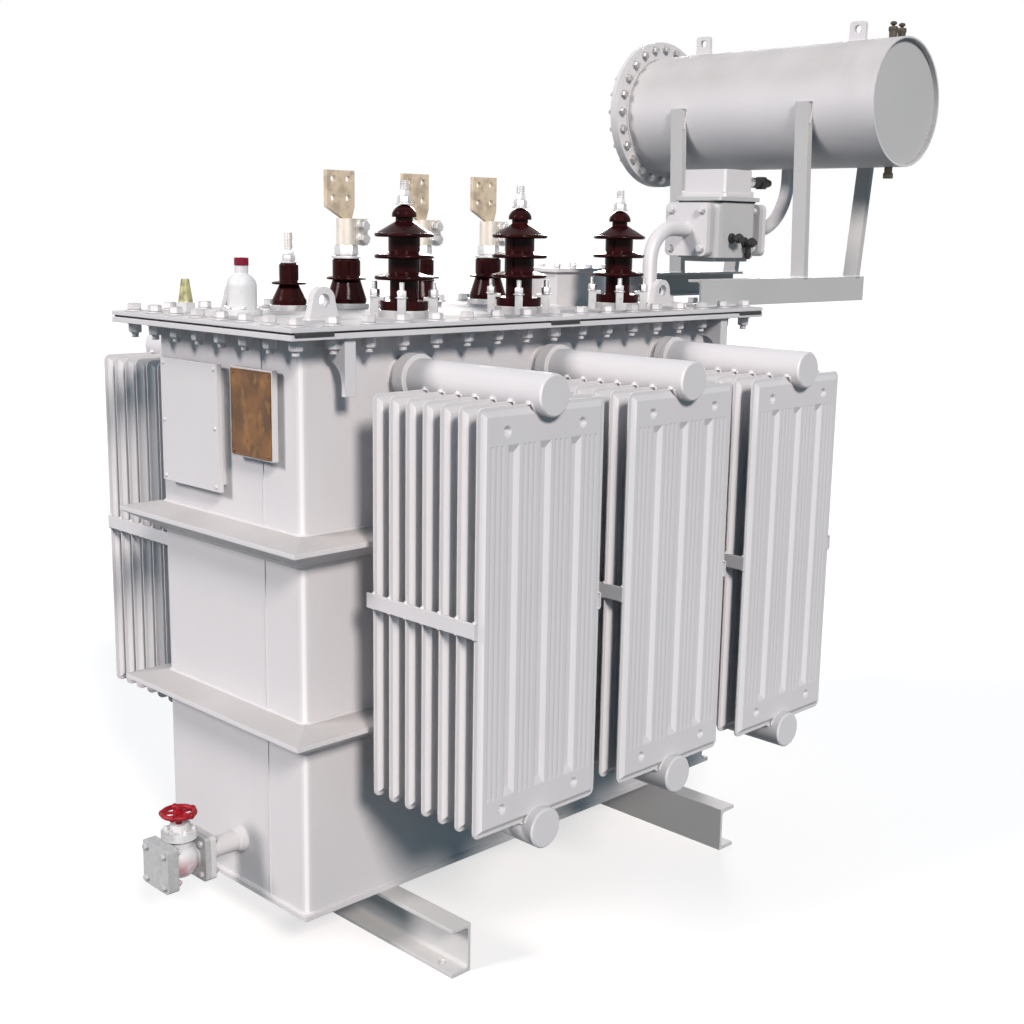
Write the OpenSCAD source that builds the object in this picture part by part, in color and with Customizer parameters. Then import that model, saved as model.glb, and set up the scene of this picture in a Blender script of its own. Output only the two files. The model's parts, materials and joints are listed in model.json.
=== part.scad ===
// Oil-filled three-phase power transformer on two base channels.
// X runs along the tank, Y across it, Z up. The origin is at the middle of the base, on the ground.

/* [Base] */
// Height of each base channel
base_h = 100; // [80:1:140]
// Width of the channel flanges
base_flange = 48; // [40:1:70]
// Thickness of the channel web
base_web_t = 6; // [4:0.5:10]
// Thickness of the channel flanges
base_flange_t = 8; // [5:0.5:12]
// Radius of the channel's root fillets
base_root = 8; // [3:0.5:10]
// Length of each channel, across the tank
base_len = 922; // [880:1:1100]
// Distance between the backs of the two channels
base_gauge = 800; // [600:5:900]
// Distance between the holding-down holes in one channel
base_hole_y = 820; // [700:5:840]
// Radius of the holding-down holes
base_hole_r = 9; // [6:0.5:12]

/* [Tank] */
// Outside length of the tank
tank_l = 1250; // [1150:5:1350]
// Outside width of the tank
tank_w = 476; // [440:2:520]
// Height from the underside of the floor to the underside of the rim
tank_h = 1123; // [1080:1:1200]
// Thickness of the tank wall
wall_t = 6; // [4:0.5:10]
// Thickness of the tank floor
floor_t = 10; // [6:1:16]
// How far the floor plate stands out past the wall
floor_out = 6; // [2:0.5:12]
// Outside radius of the tank's bent corners
corner_r = 16; // [12:1:30]
// How far rim and cover stand out past the wall
rim_out = 64; // [60:1:80]
// Thickness of the rim
rim_t = 10; // [6:0.5:14]
// Thickness of the gasket
gasket_t = 4; // [2:0.5:8]
// How far the gasket stays back from the edge of the cover
gasket_back = 5; // [1:0.5:15]
// Thickness of the cover
cover_t = 8; // [6:0.5:14]

/* [Stiffener bands] */
// Height of the lower band's outer edge above the floor
band_low_z = 384; // [340:1:440]
// Distance of the upper band's outer edge below the rim
band_high_drop = 377; // [340:1:420]
// How far a band stands out from the wall
band_out = 64; // [40:1:75]
// How far a band's top face falls from the wall to the edge
band_fall = 13; // [4:1:30]
// Thickness of the band's edge
band_edge = 9; // [5:1:16]
// How far a band's lower face returns down the wall
band_return = 36; // [20:1:60]

/* [Lifting hooks and lugs] */
// Distance of the hooks from the end of the tank
hook_in = 72; // [50:1:110]
// Thickness of a hook
hook_t = 25; // [16:1:32]
// How far a hook stands out from the wall
hook_out = 54; // [40:1:60]
// Height of a hook
hook_h = 106; // [80:1:120]
// Radius of the sling seat under a hook
hook_seat_r = 44; // [28:1:46]
// Height of the straight sides below the seat's round
hook_seat_rise = 20; // [8:1:30]
// Distance of the cover lugs from the end of the tank
lug_in = 125; // [80:1:170]
// Distance of the cover lugs from the middle, across the tank
lug_y = 140; // [100:1:180]
// Width of a lug at its foot
lug_w = 72; // [56:1:90]
// Thickness of a lug
lug_t = 16; // [10:1:24]
// Height of the lug's eye above the cover
lug_eye_z = 36; // [32:1:50]
// Radius of the rounded top of a lug
lug_top_r = 26; // [22:1:34]
// Radius of the lug's eye
lug_eye_r = 13; // [8:0.5:16]

/* [Radiators] */
// Distance between neighbouring banks
bank_pitch = 384; // [350:1:420]
// Offset of the middle bank from the middle of the tank
bank_shift = 2; // [-20:1:20]
// Panels in a bank
panel_n = 7; // [4:1:9]
// Distance between neighbouring panels
panel_pitch = 45; // [40:1:55]
// Distance of the first panel from the wall
panel_first = 102; // [100:1:130]
// Width of a panel
panel_w = 316; // [260:2:330]
// How much shorter a panel is than the distance between its header axes
panel_short = 27; // [16:1:40]
// Radius of a panel's corners
panel_corner = 14; // [8:1:20]
// Thickness of a panel's welded seam
seam_t = 3; // [2:0.5:5]
// Flutes in a panel
flute_n = 4; // [3:1:6]
// Thickness across a flute
flute_t = 16; // [8:0.5:20]
// Flat seam beside the outer flutes
flute_edge = 7; // [5:1:20]
// Flat seam between neighbouring flutes
flute_gap = 10; // [3:0.5:12]
// Width of a flute's sloping side
flute_slope = 9; // [5:0.5:12]
// Flat zone above and below the flutes
flute_end = 66; // [60:1:90]
// Length of the slope from the flat zone down into the valleys
flute_run = 14; // [8:1:40]
// Grooves along the top of a flute
ripple_n = 3; // [1:1:3]
// Width of a groove
ripple_w = 8; // [6:0.5:10]
// Least width of the crest between two grooves
ripple_crest = 1; // [0.5:0.5:3]
// Depth of a groove
ripple_d = 1.5; // [0.5:0.25:2.5]
// Radius of the dimples in the flat zones
dimple_r = 10; // [6:0.5:12]
// Radius of a dimple's floor
dimple_floor = 4; // [2:0.5:5]
// Distance of the dimples from the middle of the panel
dimple_x = 94; // [80:1:110]
// Distance of the dimples from the end of the panel
dimple_in = 43; // [36:1:50]
// Outside radius of the header pipes
header_r = 38; // [30:0.5:44]
// Distance of the upper header's axis below the rim
header_drop = 83; // [76:1:120]
// Chamfer round a header's closed end
header_chamfer = 3; // [1:0.5:6]
// Height of the lower header's axis above the tank floor's underside
header_low_z = 248; // [200:1:300]
// How far a header stands out past the last panel
header_past = 21; // [14:1:40]
// Radius of the header flanges
header_flange_r = 46; // [45:1:70]
// Thickness of a header flange
header_flange_t = 14; // [8:0.5:20]
// Distance of the flange joint from the wall
header_joint = 34; // [28:1:50]
// Height of a strap across the panels
strap_h = 28; // [20:1:40]
// Thickness of a strap
strap_t = 4; // [3:0.5:8]
// How far a strap runs past the last panel's middle
strap_past = 4; // [2:0.5:20]
// How far a strap runs past the first panel's middle, towards the wall
strap_back = 16; // [2:0.5:26]
// Room between a panel and the header that it is welded round
header_fit = 0.2; // [0.1:0.05:0.3]

/* [High-voltage bushings] */
// Distance of the outer bushings from the ends of the tank
hv_in = 307; // [295:1:345]
// Distance of the row from the middle of the tank
hv_y = 165; // [150:1:175]
// Radius of the porcelain's foot
hv_foot_r = 47; // [42:0.5:50]
// Height of the foot
hv_foot_h = 18; // [12:0.5:24]
// Radius of the porcelain between foot and sheds
hv_body_r = 28; // [22:0.5:32]
// Radius of the porcelain between the sheds
hv_core_r = 31; // [26:0.5:36]
// Radius of the sheds
hv_shed_r = 58; // [50:0.5:64]
// Thickness of a shed's round edge
hv_shed_t = 8; // [3:0.5:10]
// Rise of a shed's top face from its edge to the core
hv_shed_rise = 6; // [3:0.5:10]
// Height of the lowest shed's edge above the ring
hv_shed_z = 58; // [54:1:74]
// Distance between the sheds' edges
hv_shed_pitch = 41; // [34:1:48]
// Rise of the top shed, a hat, from its edge to the neck
hv_hat_rise = 22; // [18:1:32]
// Radius of the neck under the dome
hv_neck_r = 17; // [13:0.5:20]
// Height of the neck
hv_neck_h = 8; // [4:0.5:14]
// Radius of the dome
hv_dome_r = 24; // [21:0.5:28]
// Height of the dome's edge
hv_dome_edge = 6; // [3:0.5:12]
// Height of the dome above its edge
hv_dome_h = 18; // [10:0.5:20]
// Radius of the terminal stud
hv_stud_r = 8; // [5:0.5:10]
// Length of the stud above the dome
hv_stud_h = 45; // [30:1:70]
// Radius of the ring under a bushing
hv_ring_r = 50; // [48:0.5:60]
// Height of the ring
hv_ring_h = 15; // [8:0.5:24]
// Clamps round a bushing's foot
claw_n = 4; // [3:1:6]
// Width of a clamp
claw_w = 16; // [10:0.5:22]
// How far a clamp stands out past the ring
claw_out = 16; // [12:0.5:22]
// How far a clamp reaches in over the foot
claw_in = 9; // [5:0.5:12]
// Thickness of a clamp's lip over the foot
claw_t = 7; // [4:0.5:12]

/* [Low-voltage bushings] */
// Distance of the outer bushings from the ends of the tank
lv_in = 413; // [395:1:435]
// Distance of the row from the middle of the tank
lv_y = 150; // [130:1:170]
// Distance from the first bushing to the neutral
neutral_gap = 152; // [130:1:160]
// Radius of the porcelain's upper part
lv_r = 30; // [24:0.5:36]
// Height of the porcelain above its ring
lv_h = 95; // [80:1:120]
// Radius of the porcelain's skirt and of its shed
lv_skirt_r = 43; // [40:0.5:48]
// Height of the shed's underside
lv_shed_z = 50; // [40:1:60]
// Thickness of a small bushing's shed
small_shed_t = 5; // [3:0.5:7]
// Height of the upright foot of a small bushing's skirt
small_foot = 9; // [5:0.5:14]
// Chamfer on top of a small bushing
small_chamfer = 4; // [2:0.5:6]
// Radius of the copper stem
lv_stem_r = 13; // [8:0.5:15]
// Height of the stem above the porcelain
lv_stem_h = 84; // [80:1:120]
// Width of the flag
flag_w = 75; // [70:1:110]
// Height of the flag
flag_h = 76; // [70:1:110]
// Offset of the flag's palm from the stem's axis, along the row
flag_off = -18; // [-20:1:20]
// Thickness of the flag
flag_t = 10; // [6:0.5:16]
// Distance between the holes in a flag
flag_hole_pitch = 40; // [30:1:44]
// Radius of the holes in a flag
flag_hole_r = 7; // [4:0.5:8]
// Width of the flag's neck at the stem
flag_neck = 24; // [20:1:60]
// Height of the shoulder from the neck to the flag
flag_neck_h = 24; // [10:1:30]
// Outside radius of the clamp round the stem
clamp_r = 21; // [17:0.5:26]
// Height of the clamp
clamp_h = 56; // [40:1:64]
// How far the clamp's ears reach from the stem's axis
clamp_ear = 50; // [36:1:60]
// Thickness of one ear of the clamp
clamp_ear_t = 9; // [6:0.5:12]
// Slot between the ears
clamp_slot = 5; // [2:0.5:8]
// Radius of the neutral's skirt
neutral_r = 36; // [32:0.5:42]
// Radius of the neutral's upper part
neutral_core = 20; // [16:0.5:24]
// Height of the neutral's porcelain
neutral_h = 86; // [70:1:110]
// Height of the neutral's shed
neutral_shed_z = 42; // [34:1:50]
// Radius of the neutral's stud
neutral_stud_r = 8; // [5:0.5:10]
// Length of the neutral's stud
neutral_stud_h = 62; // [40:1:80]
// Height of the ring under a low-voltage bushing
lv_ring_h = 11; // [6:0.5:18]
// How far the ring stands out past the porcelain
lv_ring_out = 5; // [2:0.5:8]

/* [Fittings on the cover] */
// Relief valve, distance from the end of the tank
relief_in = 80; // [55:1:105]
// Relief valve, distance from the middle across the tank
relief_y = 56; // [30:1:80]
// Radius of the relief valve's body
relief_r = 29; // [24:0.5:34]
// Height of the relief valve's body
relief_h = 96; // [84:1:120]
// Height of the relief valve's straight side
relief_side = 58; // [50:1:66]
// Height of the relief valve's foot flange
relief_foot_h = 12; // [6:0.5:16]
// How far the foot flange stands out
relief_foot_out = 10; // [6:0.5:14]
// Radius of the relief valve's neck
relief_neck_r = 13; // [9:0.5:16]
// Radius of the relief valve's cap
relief_cap_r = 14; // [12:0.5:20]
// Height of the relief valve's cap
relief_cap_h = 15; // [8:1:24]
// Thermometer pocket, distance from the end of the tank
pocket_in = 33; // [27:1:55]
// Thermometer pocket, distance from the middle across the tank
pocket_y = 184; // [160:1:190]
// Radius of the thermometer pocket's foot
pocket_r = 21; // [16:0.5:26]
// Height of the thermometer pocket
pocket_h = 66; // [40:1:80]
// Height of the pocket's six-sided foot
pocket_foot = 20; // [12:1:28]
// Radius of the pocket above its foot
pocket_mid_r = 15; // [11:0.5:15.5]
// Radius of the pocket's top
pocket_top_r = 8; // [5:0.5:10]
// Tap switch box, distance of its middle from the end of the tank
tap_in = 285; // [265:1:305]
// Tap switch box, middle across the tank
tap_y = 20; // [0:1:30]
// Tap switch box, length
tap_l = 170; // [140:1:190]
// Tap switch box, width
tap_w = 110; // [90:1:130]
// Tap switch box, height without its lid
tap_h = 78; // [60:1:100]
// Lid of the tap switch box, thickness
tap_lid = 8; // [4:0.5:12]

/* [Gas relay] */
// Distance of the relay's axis from the middle, across the tank
relay_y = -16; // [-30:1:10]
// Height of the relay's axis above the cover
relay_z = 180; // [165:1:200]
// Relay's first flange face, distance past the end of the tank
relay_off = 134; // [120:1:160]
// Length of the relay from flange to flange
relay_l = 222; // [200:1:230]
// Side of the square flanges of relay and pipes
relay_flange = 132; // [120:1:140]
// Thickness of these flanges
relay_flange_t = 14; // [8:0.5:18]
// Corner radius of these flanges
relay_flange_c = 14; // [8:0.5:20]
// Radius of the relay's necks
relay_r = 46; // [36:0.5:52]
// Room between a flange and the relay's chamber
relay_neck = 11; // [8:0.5:16]
// Width of the relay's chamber
relay_w = 136; // [110:1:140]
// Height of the chamber above the axis
relay_up = 72; // [66:1:80]
// Depth of the chamber below the axis
relay_down = 70; // [66:1:80]
// Radius of the chamber's upright edges
relay_edge = 26; // [14:1:36]
// Thickness of the chamber's top and bottom plates
relay_plate_t = 10; // [6:0.5:14]
// How far the top plate stands out past the chamber
relay_plate_out = 8; // [4:0.5:12]
// How far the bottom plate stays back from the chamber's sides
relay_plate_back = 14; // [8:0.5:24]
// Length of the relay's terminal box, along the pipe
relay_box_l = 128; // [110:1:140]
// Width of the relay's terminal box
relay_box_w = 146; // [120:1:150]
// Height of the relay's terminal box
relay_box_h = 68; // [50:1:74]
// Height of the box's foot flange
relay_box_foot = 9; // [5:0.5:14]
// How far the lid stays back from the foot flange
relay_box_back = 6; // [3:0.5:10]
// Corner radius of the box
relay_box_c = 12; // [8:0.5:20]
// Radius of the oil pipes
pipe_r = 18; // [14:0.5:24]
// Bend radius of the pipe that leaves the cover
pipe_bend = 80; // [60:1:90]
// Bend radius of the pipe that enters the conservator
riser_bend = 140; // [100:1:145]
// Distance of the pipe that leaves the cover from the end of the tank
pipe_in = 17; // [10:1:40]
// Distance of the pipe that enters the conservator from the conservator's axis
riser_off = 57; // [40:1:70]

/* [Conservator] */
// Distance of the conservator's axis past the end of the tank
cons_off = 500; // [480:1:525]
// Height of the conservator's axis above the cover
cons_z = 499; // [470:1:540]
// Outside radius of the shell
cons_r = 157; // [145:0.5:165]
// Thickness of the shell
cons_t = 5; // [3:0.5:8]
// Length of the shell
cons_l = 792; // [720:1:880]
// Radius of the bolted flange
cons_flange_r = 200; // [185:1:220]
// Thickness of the bolted flange and of its cover
cons_flange_t = 12; // [8:0.5:18]
// How far the plain end sits back in the shell
cons_recess = 12; // [4:0.5:24]
// Distance between the two lifting lugs
cons_lug_gap = 490; // [400:1:560]
// Width of a lifting lug
cons_lug_w = 46; // [36:1:60]
// Thickness of a lifting lug
cons_lug_t = 10; // [6:0.5:16]
// Height of a lug's eye above the shell
cons_lug_eye = 28; // [24:1:40]
// Height of a lug above the shell
cons_lug_h = 48; // [44:1:60]
// Corner radius of a lug
cons_lug_c = 9; // [4:0.5:14]
// Radius of a lug's eye
cons_lug_r = 10; // [6:0.5:14]
// Room between the shell and what is shaped to it
cons_fit = 0.2; // [0.1:0.05:0.3]
// Radius of the filling and drain plugs
plug_r = 10; // [6:0.5:14]
// Distance between the two supports
support_gap = 400; // [340:1:440]
// Height of a support beam
beam_h = 63; // [50:1:75]
// Width of a support beam's flanges
beam_w = 40; // [30:1:50]
// Thickness of the support steel
beam_t = 6; // [4:0.5:8]
// Start of the beams, distance from the end of the tank
beam_in = 70; // [45:1:85]
// How far the beams run past the conservator's axis
beam_past = 140; // [125:1:180]
// Width of a support post
post_w = 40; // [30:1:50]
// Depth of a support post
post_d = 18; // [12:1:24]
// How far a post reaches under the side of the shell
post_under = 8; // [0:1:14]
// How far a post's foot stands in from its top
post_lean = 20; // [0:1:40]
// How far a sloping strut's foot stays back from the end of its beam
strut_back = 40; // [30:1:60]

/* [End wall fittings] */
// Terminal box, middle across the tank
tbox_y = 92; // [80:1:105]
// Terminal box, distance of its middle below the rim
tbox_drop = 188; // [175:1:200]
// Terminal box, width
tbox_w = 176; // [150:1:190]
// Terminal box, height
tbox_h = 223; // [190:1:240]
// Terminal box, depth without its lid
tbox_d = 14; // [8:1:40]
// Terminal box, thickness of the lid
tbox_lid = 10; // [2:0.5:14]
// How far the lid stands out past the box
tbox_lip = 12; // [2:0.5:16]
// Rating plate, middle across the tank
plate_y = -117; // [-130:1:-105]
// Rating plate, distance of its middle below the rim
plate_drop = 147; // [130:1:170]
// Rating plate, width
plate_w = 126; // [120:1:140]
// Rating plate, height
plate_h = 162; // [140:1:190]
// Rating plate, thickness
plate_t = 2; // [1:0.5:4]
// Rating plate, distance of its back from the wall
plate_off = 22; // [18:1:40]
// Depth of the tray that holds the rating plate
tray_d = 12; // [6:0.5:16]
// How far the tray stands out round the rating plate
tray_rim = 3; // [1:0.5:6]
// Height of the two rails that carry the tray
rail_h = 30; // [16:1:40]
// How far the rails stay back from the tray's sides
rail_back = 14; // [6:1:30]

/* [Drain valve] */
// Drain valve, distance of its axis from the middle across the tank
drain_y = -20; // [-40:1:0]
// Drain valve, height of its axis above the tank's underside
drain_z = 99; // [85:1:120]
// Radius of the drain pipe
drain_r = 21; // [16:0.5:26]
// Length of the drain pipe
drain_l = 89; // [60:1:110]
// Side of the square flanges
drain_flange = 90; // [76:1:96]
// Thickness of the square flanges
drain_flange_t = 12; // [8:0.5:16]
// Corner radius of the square flanges
drain_flange_c = 8; // [4:0.5:14]
// Length of the valve between its flanges
drain_body_l = 84; // [80:1:100]
// Radius of the valve's necks
drain_body_r = 27; // [24:0.5:32]
// Radius of the valve's round chamber
globe_r = 37; // [34:0.5:40]
// Radius of the bonnet's neck
bonnet_neck_r = 25; // [20:0.5:28]
// Radius of the bonnet's flange
bonnet_flange_r = 35; // [31:0.5:40]
// Underside of the bonnet's flange above the valve's axis
bonnet_flange_z = 46; // [42:1:50]
// Thickness of the bonnet's flange
bonnet_flange_t = 14; // [8:0.5:16]
// Radius of the gland on top of the bonnet
bonnet_r = 17; // [14:0.5:22]
// Top of the bonnet above the valve's axis
bonnet_h = 74; // [66:1:90]
// Radius of the valve's stem
stem_r = 6; // [4:0.5:8]
// Room between the stem and the bonnet
stem_fit = 0.05; // [0.02:0.01:0.1]
// Depth of the stem in the bonnet
stem_in = 28; // [16:1:34]
// Height of the handwheel's middle above the bonnet
wheel_up = 22; // [18:1:30]
// Outside radius of the handwheel
wheel_r = 36; // [30:0.5:44]
// Radius of the handwheel's rim section
wheel_rim = 5; // [3:0.5:7]
// Radius of the grip lobes round the handwheel
wheel_lobe = 7; // [5:0.5:9]
// Radius of the handwheel's hub
wheel_hub = 11; // [9:0.5:14]
// Spokes of the handwheel
wheel_spokes = 5; // [3:1:6]

/* [Hidden] */
$fn = 64;

paint = [0.80, 0.79, 0.77];
porcelain = [0.20, 0.09, 0.07];
copper = [0.72, 0.60, 0.47];
steel = [0.72, 0.72, 0.73];
brass = [0.75, 0.60, 0.28];
red = [0.76, 0.15, 0.12];
black = [0.05, 0.05, 0.05];

tank_z = base_h;
rim_z = tank_z + tank_h;
gasket_z = rim_z + rim_t;
cover_z = gasket_z + gasket_t;
top_z = cover_z + cover_t;
cover_l = tank_l + 2 * rim_out;
cover_w = tank_w + 2 * rim_out;
end_x = -tank_l / 2;
side_y = tank_w / 2;
bank_xs = [for (i = [-1 : 1]) bank_shift + i * bank_pitch];
header_span = tank_h - header_low_z - header_drop;
header_zs = [tank_z + header_low_z, tank_z + header_low_z + header_span];
panel_h = header_span - panel_short;
panel_z = tank_z + header_low_z + header_span / 2;
panel_last = panel_first + (panel_n - 1) * panel_pitch;
header_end = panel_last + flute_t / 2 + header_past;
flute_bulge = flute_t / 2;
flute_w = (panel_w - 2 * flute_edge - (flute_n - 1) * flute_gap) / flute_n;
flute_l = panel_h - 2 * flute_end;
ripple_step = (flute_w - 2 * flute_slope) / (ripple_n + 1);
groove_w = min(ripple_w, ripple_step - ripple_crest);
hook_x = tank_l / 2 - hook_in;
lug_x = tank_l / 2 - lug_in;
hv_pitch = tank_l / 2 - hv_in;
hv_xs = [-hv_pitch, 0, hv_pitch];
lv_pitch = tank_l / 2 - lv_in;
lv_xs = [-lv_pitch, 0, lv_pitch];
neutral_x = -lv_pitch - neutral_gap;
hv_z = top_z + hv_ring_h;
hv_hat_z = hv_shed_z + 2 * hv_shed_pitch;
hv_neck_z = hv_hat_z + hv_shed_t + hv_hat_rise;
hv_dome_z = hv_neck_z + hv_neck_h;
hv_h = hv_dome_z + hv_dome_edge + hv_dome_h;
lv_z = top_z + lv_ring_h;
relief_x = end_x + relief_in;
pocket_x = end_x + pocket_in;
tap_x = tank_l / 2 - tap_in;
relay_x = tank_l / 2 + relay_off;
relay_mid = relay_x + relay_l / 2;
relay_axis = top_z + relay_z;
chamber_l = relay_l - 2 * relay_flange_t - 2 * relay_neck;
pipe_x = tank_l / 2 - pipe_in;
cons_x = tank_l / 2 + cons_off;
cons_axis = top_z + cons_z;
riser_x = cons_x + riser_off;
beam_x = tank_l / 2 - beam_in;
beam_l = cons_x + beam_past - beam_x;
post_x = cons_x - cons_r + post_under;
strut_x = cons_x + cons_r;
strut_foot = beam_x + beam_l - strut_back;
valve_x = end_x - drain_l - drain_flange_t - drain_body_l / 2;
valve_z = tank_z + drain_z;
bonnet_z = valve_z + bonnet_h;

// Rectangle with round corners, about the origin
module round_rect(l, w, r) {
    square([l - 2 * r, w], center = true);
    square([l, w - 2 * r], center = true);
    for (x = [-1, 1], y = [-1, 1])
        translate([x * (l / 2 - r), y * (w / 2 - r)])
            circle(r = r);
}

// Rectangular frame, open in the middle
module ring_plate(l, w, inner_l, inner_w, t) {
    linear_extrude(height = t)
        difference() {
            square([l, w], center = true);
            square([inner_l, inner_w], center = true);
        }
}

// Cylinder along Y, from y0 to y1
module rod_y(r, y0, y1) {
    translate([0, y0, 0])
        rotate([-90, 0, 0])
            cylinder(r = r, h = y1 - y0);
}

// Cylinder along X, from x0 to x1
module rod_x(r, x0, x1) {
    translate([x0, 0, 0])
        rotate([0, 90, 0])
            cylinder(r = r, h = x1 - x0);
}

// Channel section with round roots, back on the Z axis, open towards +X
module channel_section(w, h, web, flange, root) {
    difference() {
        square([w, h]);
        translate([web + w, h / 2])
            round_rect(2 * w, h - 2 * flange, root);
    }
}

module base_channels() {
    color(paint)
        for (s = [0, 1])
            mirror([s, 0, 0])
                translate([base_gauge / 2, 0, 0])
                    difference() {
                        rotate([90, 0, 0])
                            linear_extrude(height = base_len, center = true)
                                channel_section(base_flange, base_h, base_web_t, base_flange_t, base_root);
                        for (y = [-1, 1])
                            translate([(base_flange + base_web_t) / 2, y * base_hole_y / 2, -1])
                                cylinder(r = base_hole_r, h = base_flange_t + 2);
                    }
}

module tank_floor() {
    color(paint)
        translate([0, 0, tank_z])
            linear_extrude(height = floor_t)
                square([tank_l + 2 * floor_out, tank_w + 2 * floor_out], center = true);
}

module tank_walls() {
    color(paint)
        translate([0, 0, tank_z + floor_t])
            linear_extrude(height = tank_h - floor_t)
                difference() {
                    round_rect(tank_l, tank_w, corner_r);
                    round_rect(tank_l - 2 * wall_t, tank_w - 2 * wall_t, corner_r - wall_t);
                }
}

module tank_rim() {
    color(paint)
        translate([0, 0, rim_z])
            ring_plate(cover_l, cover_w, tank_l - 2 * wall_t, tank_w - 2 * wall_t, rim_t);
}

module cover_gasket() {
    color(black)
        translate([0, 0, gasket_z])
            ring_plate(cover_l - 2 * gasket_back, cover_w - 2 * gasket_back,
                tank_l - 2 * wall_t, tank_w - 2 * wall_t, gasket_t);
}

module cover_plate() {
    color(paint)
        translate([0, 0, cover_z])
            linear_extrude(height = cover_t)
                square([cover_l, cover_w], center = true);
}

// Section of a stiffener band, wall on the Z axis, outer edge at height zero
module band_section() {
    polygon([[0, band_fall], [band_out, 0], [band_out, -band_edge], [0, -band_edge - band_return]]);
}

// One side of a band, along X, with mitred ends
module band_side(l, off) {
    tall = 2 * (band_fall + band_edge + band_return);
    intersection() {
        translate([-l / 2 - band_out, -off, 0])
            rotate([90, 0, 90])
                linear_extrude(height = l + 2 * band_out)
                    mirror([1, 0])
                        band_section();
        linear_extrude(height = tall, center = true)
            polygon([[-l / 2, -off], [l / 2, -off], [l / 2 + band_out, -off - band_out],
                [-l / 2 - band_out, -off - band_out]]);
    }
}

module stiffener_bands() {
    color(paint)
        for (z = [band_low_z, tank_h - band_high_drop])
            translate([0, 0, tank_z + z])
                for (turn = [0, 180]) {
                    rotate([0, 0, turn])
                        band_side(tank_l, tank_w / 2);
                    rotate([0, 0, turn + 90])
                        band_side(tank_w, tank_l / 2);
                }
}

// Outline of a tank hook, wall on the vertical axis, rim at the top
module hook_outline() {
    difference() {
        translate([0, -hook_h])
            square([hook_out, hook_h]);
        translate([0, hook_seat_rise - hook_h])
            circle(r = hook_seat_r);
        translate([-hook_seat_r, -hook_h])
            square([2 * hook_seat_r, hook_seat_rise]);
    }
}

module tank_hooks() {
    color(paint)
        for (s = [0, 1], x = [-hook_x, hook_x])
            mirror([0, s, 0])
                translate([x - hook_t / 2, -side_y, rim_z])
                    rotate([90, 0, 90])
                        linear_extrude(height = hook_t)
                            mirror([1, 0])
                                hook_outline();
}

module cover_lugs() {
    color(paint)
        for (x = [-lug_x, lug_x], y = [-lug_y, lug_y])
            translate([x, y, top_z])
                rotate([90, 0, 0])
                    linear_extrude(height = lug_t, center = true)
                        difference() {
                            union() {
                                polygon([[-lug_w / 2, 0], [lug_w / 2, 0], [lug_top_r, lug_eye_z],
                                    [-lug_top_r, lug_eye_z]]);
                                translate([0, lug_eye_z])
                                    circle(r = lug_top_r);
                            }
                            translate([0, lug_eye_z])
                                circle(r = lug_eye_r);
                        }
}

// Upper outline of one flute, from its left foot at x0: two slopes and a grooved top
function flute_top(x0) = concat(
    [[x0, seam_t / 2], [x0 + flute_slope, flute_bulge]],
    [for (k = [1 : ripple_n], p = [-1, 0, 1])
        [x0 + flute_slope + k * ripple_step + p * groove_w / 2, flute_bulge - (p == 0 ? ripple_d : 0)]],
    [[x0 + flute_w - flute_slope, flute_bulge], [x0 + flute_w, seam_t / 2]]);

// Section through all the flutes of a panel, the same on both faces
module flute_section() {
    first = -panel_w / 2 + flute_edge;
    top = [for (i = [0 : flute_n - 1], p = flute_top(first + i * (flute_w + flute_gap))) p];
    under = [for (i = [len(top) - 1 : -1 : 0]) [top[i][0], -top[i][1]]];
    polygon(concat(top, under));
}

// Eight-sided outline of a bulge of half length a, with end slopes of length run_a and run_b
module bulge_section(a, run_a, run_b) {
    polygon([[-a, seam_t / 2], [-a + run_a, flute_bulge], [a - run_b, flute_bulge], [a, seam_t / 2],
        [a, -seam_t / 2], [a - run_b, -flute_bulge], [-a + run_a, -flute_bulge], [-a, -seam_t / 2]]);
}

// Flat raised zone at one end of a panel, from the valleys' ends up to the seam
module flat_zone() {
    reach = flute_end - flute_edge + flute_run;
    half = panel_w / 2 - flute_edge;
    intersection() {
        linear_extrude(height = reach, center = true)
            bulge_section(half, flute_slope, flute_slope);
        rotate([90, 90, 90])
            linear_extrude(height = 2 * half, center = true)
                bulge_section(reach / 2, flute_slope, flute_run);
    }
}

// Dimple in one face of a flat zone, cut from the seam outwards
module dimple() {
    deep = flute_bulge - seam_t / 2;
    translate([0, seam_t / 2, 0])
        rotate([-90, 0, 0])
            cylinder(r1 = dimple_floor, r2 = 2 * dimple_r - dimple_floor, h = 2 * deep);
}

// One radiator panel, standing in the plane of X and Z, notched round its headers
module panel() {
    zone_z = panel_h / 2 - flute_edge - (flute_end - flute_edge + flute_run) / 2;
    difference() {
        union() {
            rotate([90, 0, 0])
                linear_extrude(height = seam_t, center = true)
                    round_rect(panel_w, panel_h, panel_corner);
            linear_extrude(height = flute_l, center = true)
                flute_section();
            for (s = [0, 1])
                mirror([0, 0, s])
                    translate([0, 0, zone_z])
                        flat_zone();
        }
        for (s = [-1, 1])
            translate([0, 0, s * header_span / 2])
                rod_y(header_r + header_fit, -flute_t, flute_t);
        for (s = [0, 1], x = [-1, 1], z = [-1, 1])
            translate([x * dimple_x, 0, z * (panel_h / 2 - dimple_in)])
                mirror([0, s, 0])
                    dimple();
    }
}

// A bank's panels on the near side
module panel_bank(bank) {
    color(paint)
        for (i = [0 : panel_n - 1])
            translate([bank_xs[bank], -side_y - panel_first - i * panel_pitch, panel_z])
                panel();
}

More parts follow.
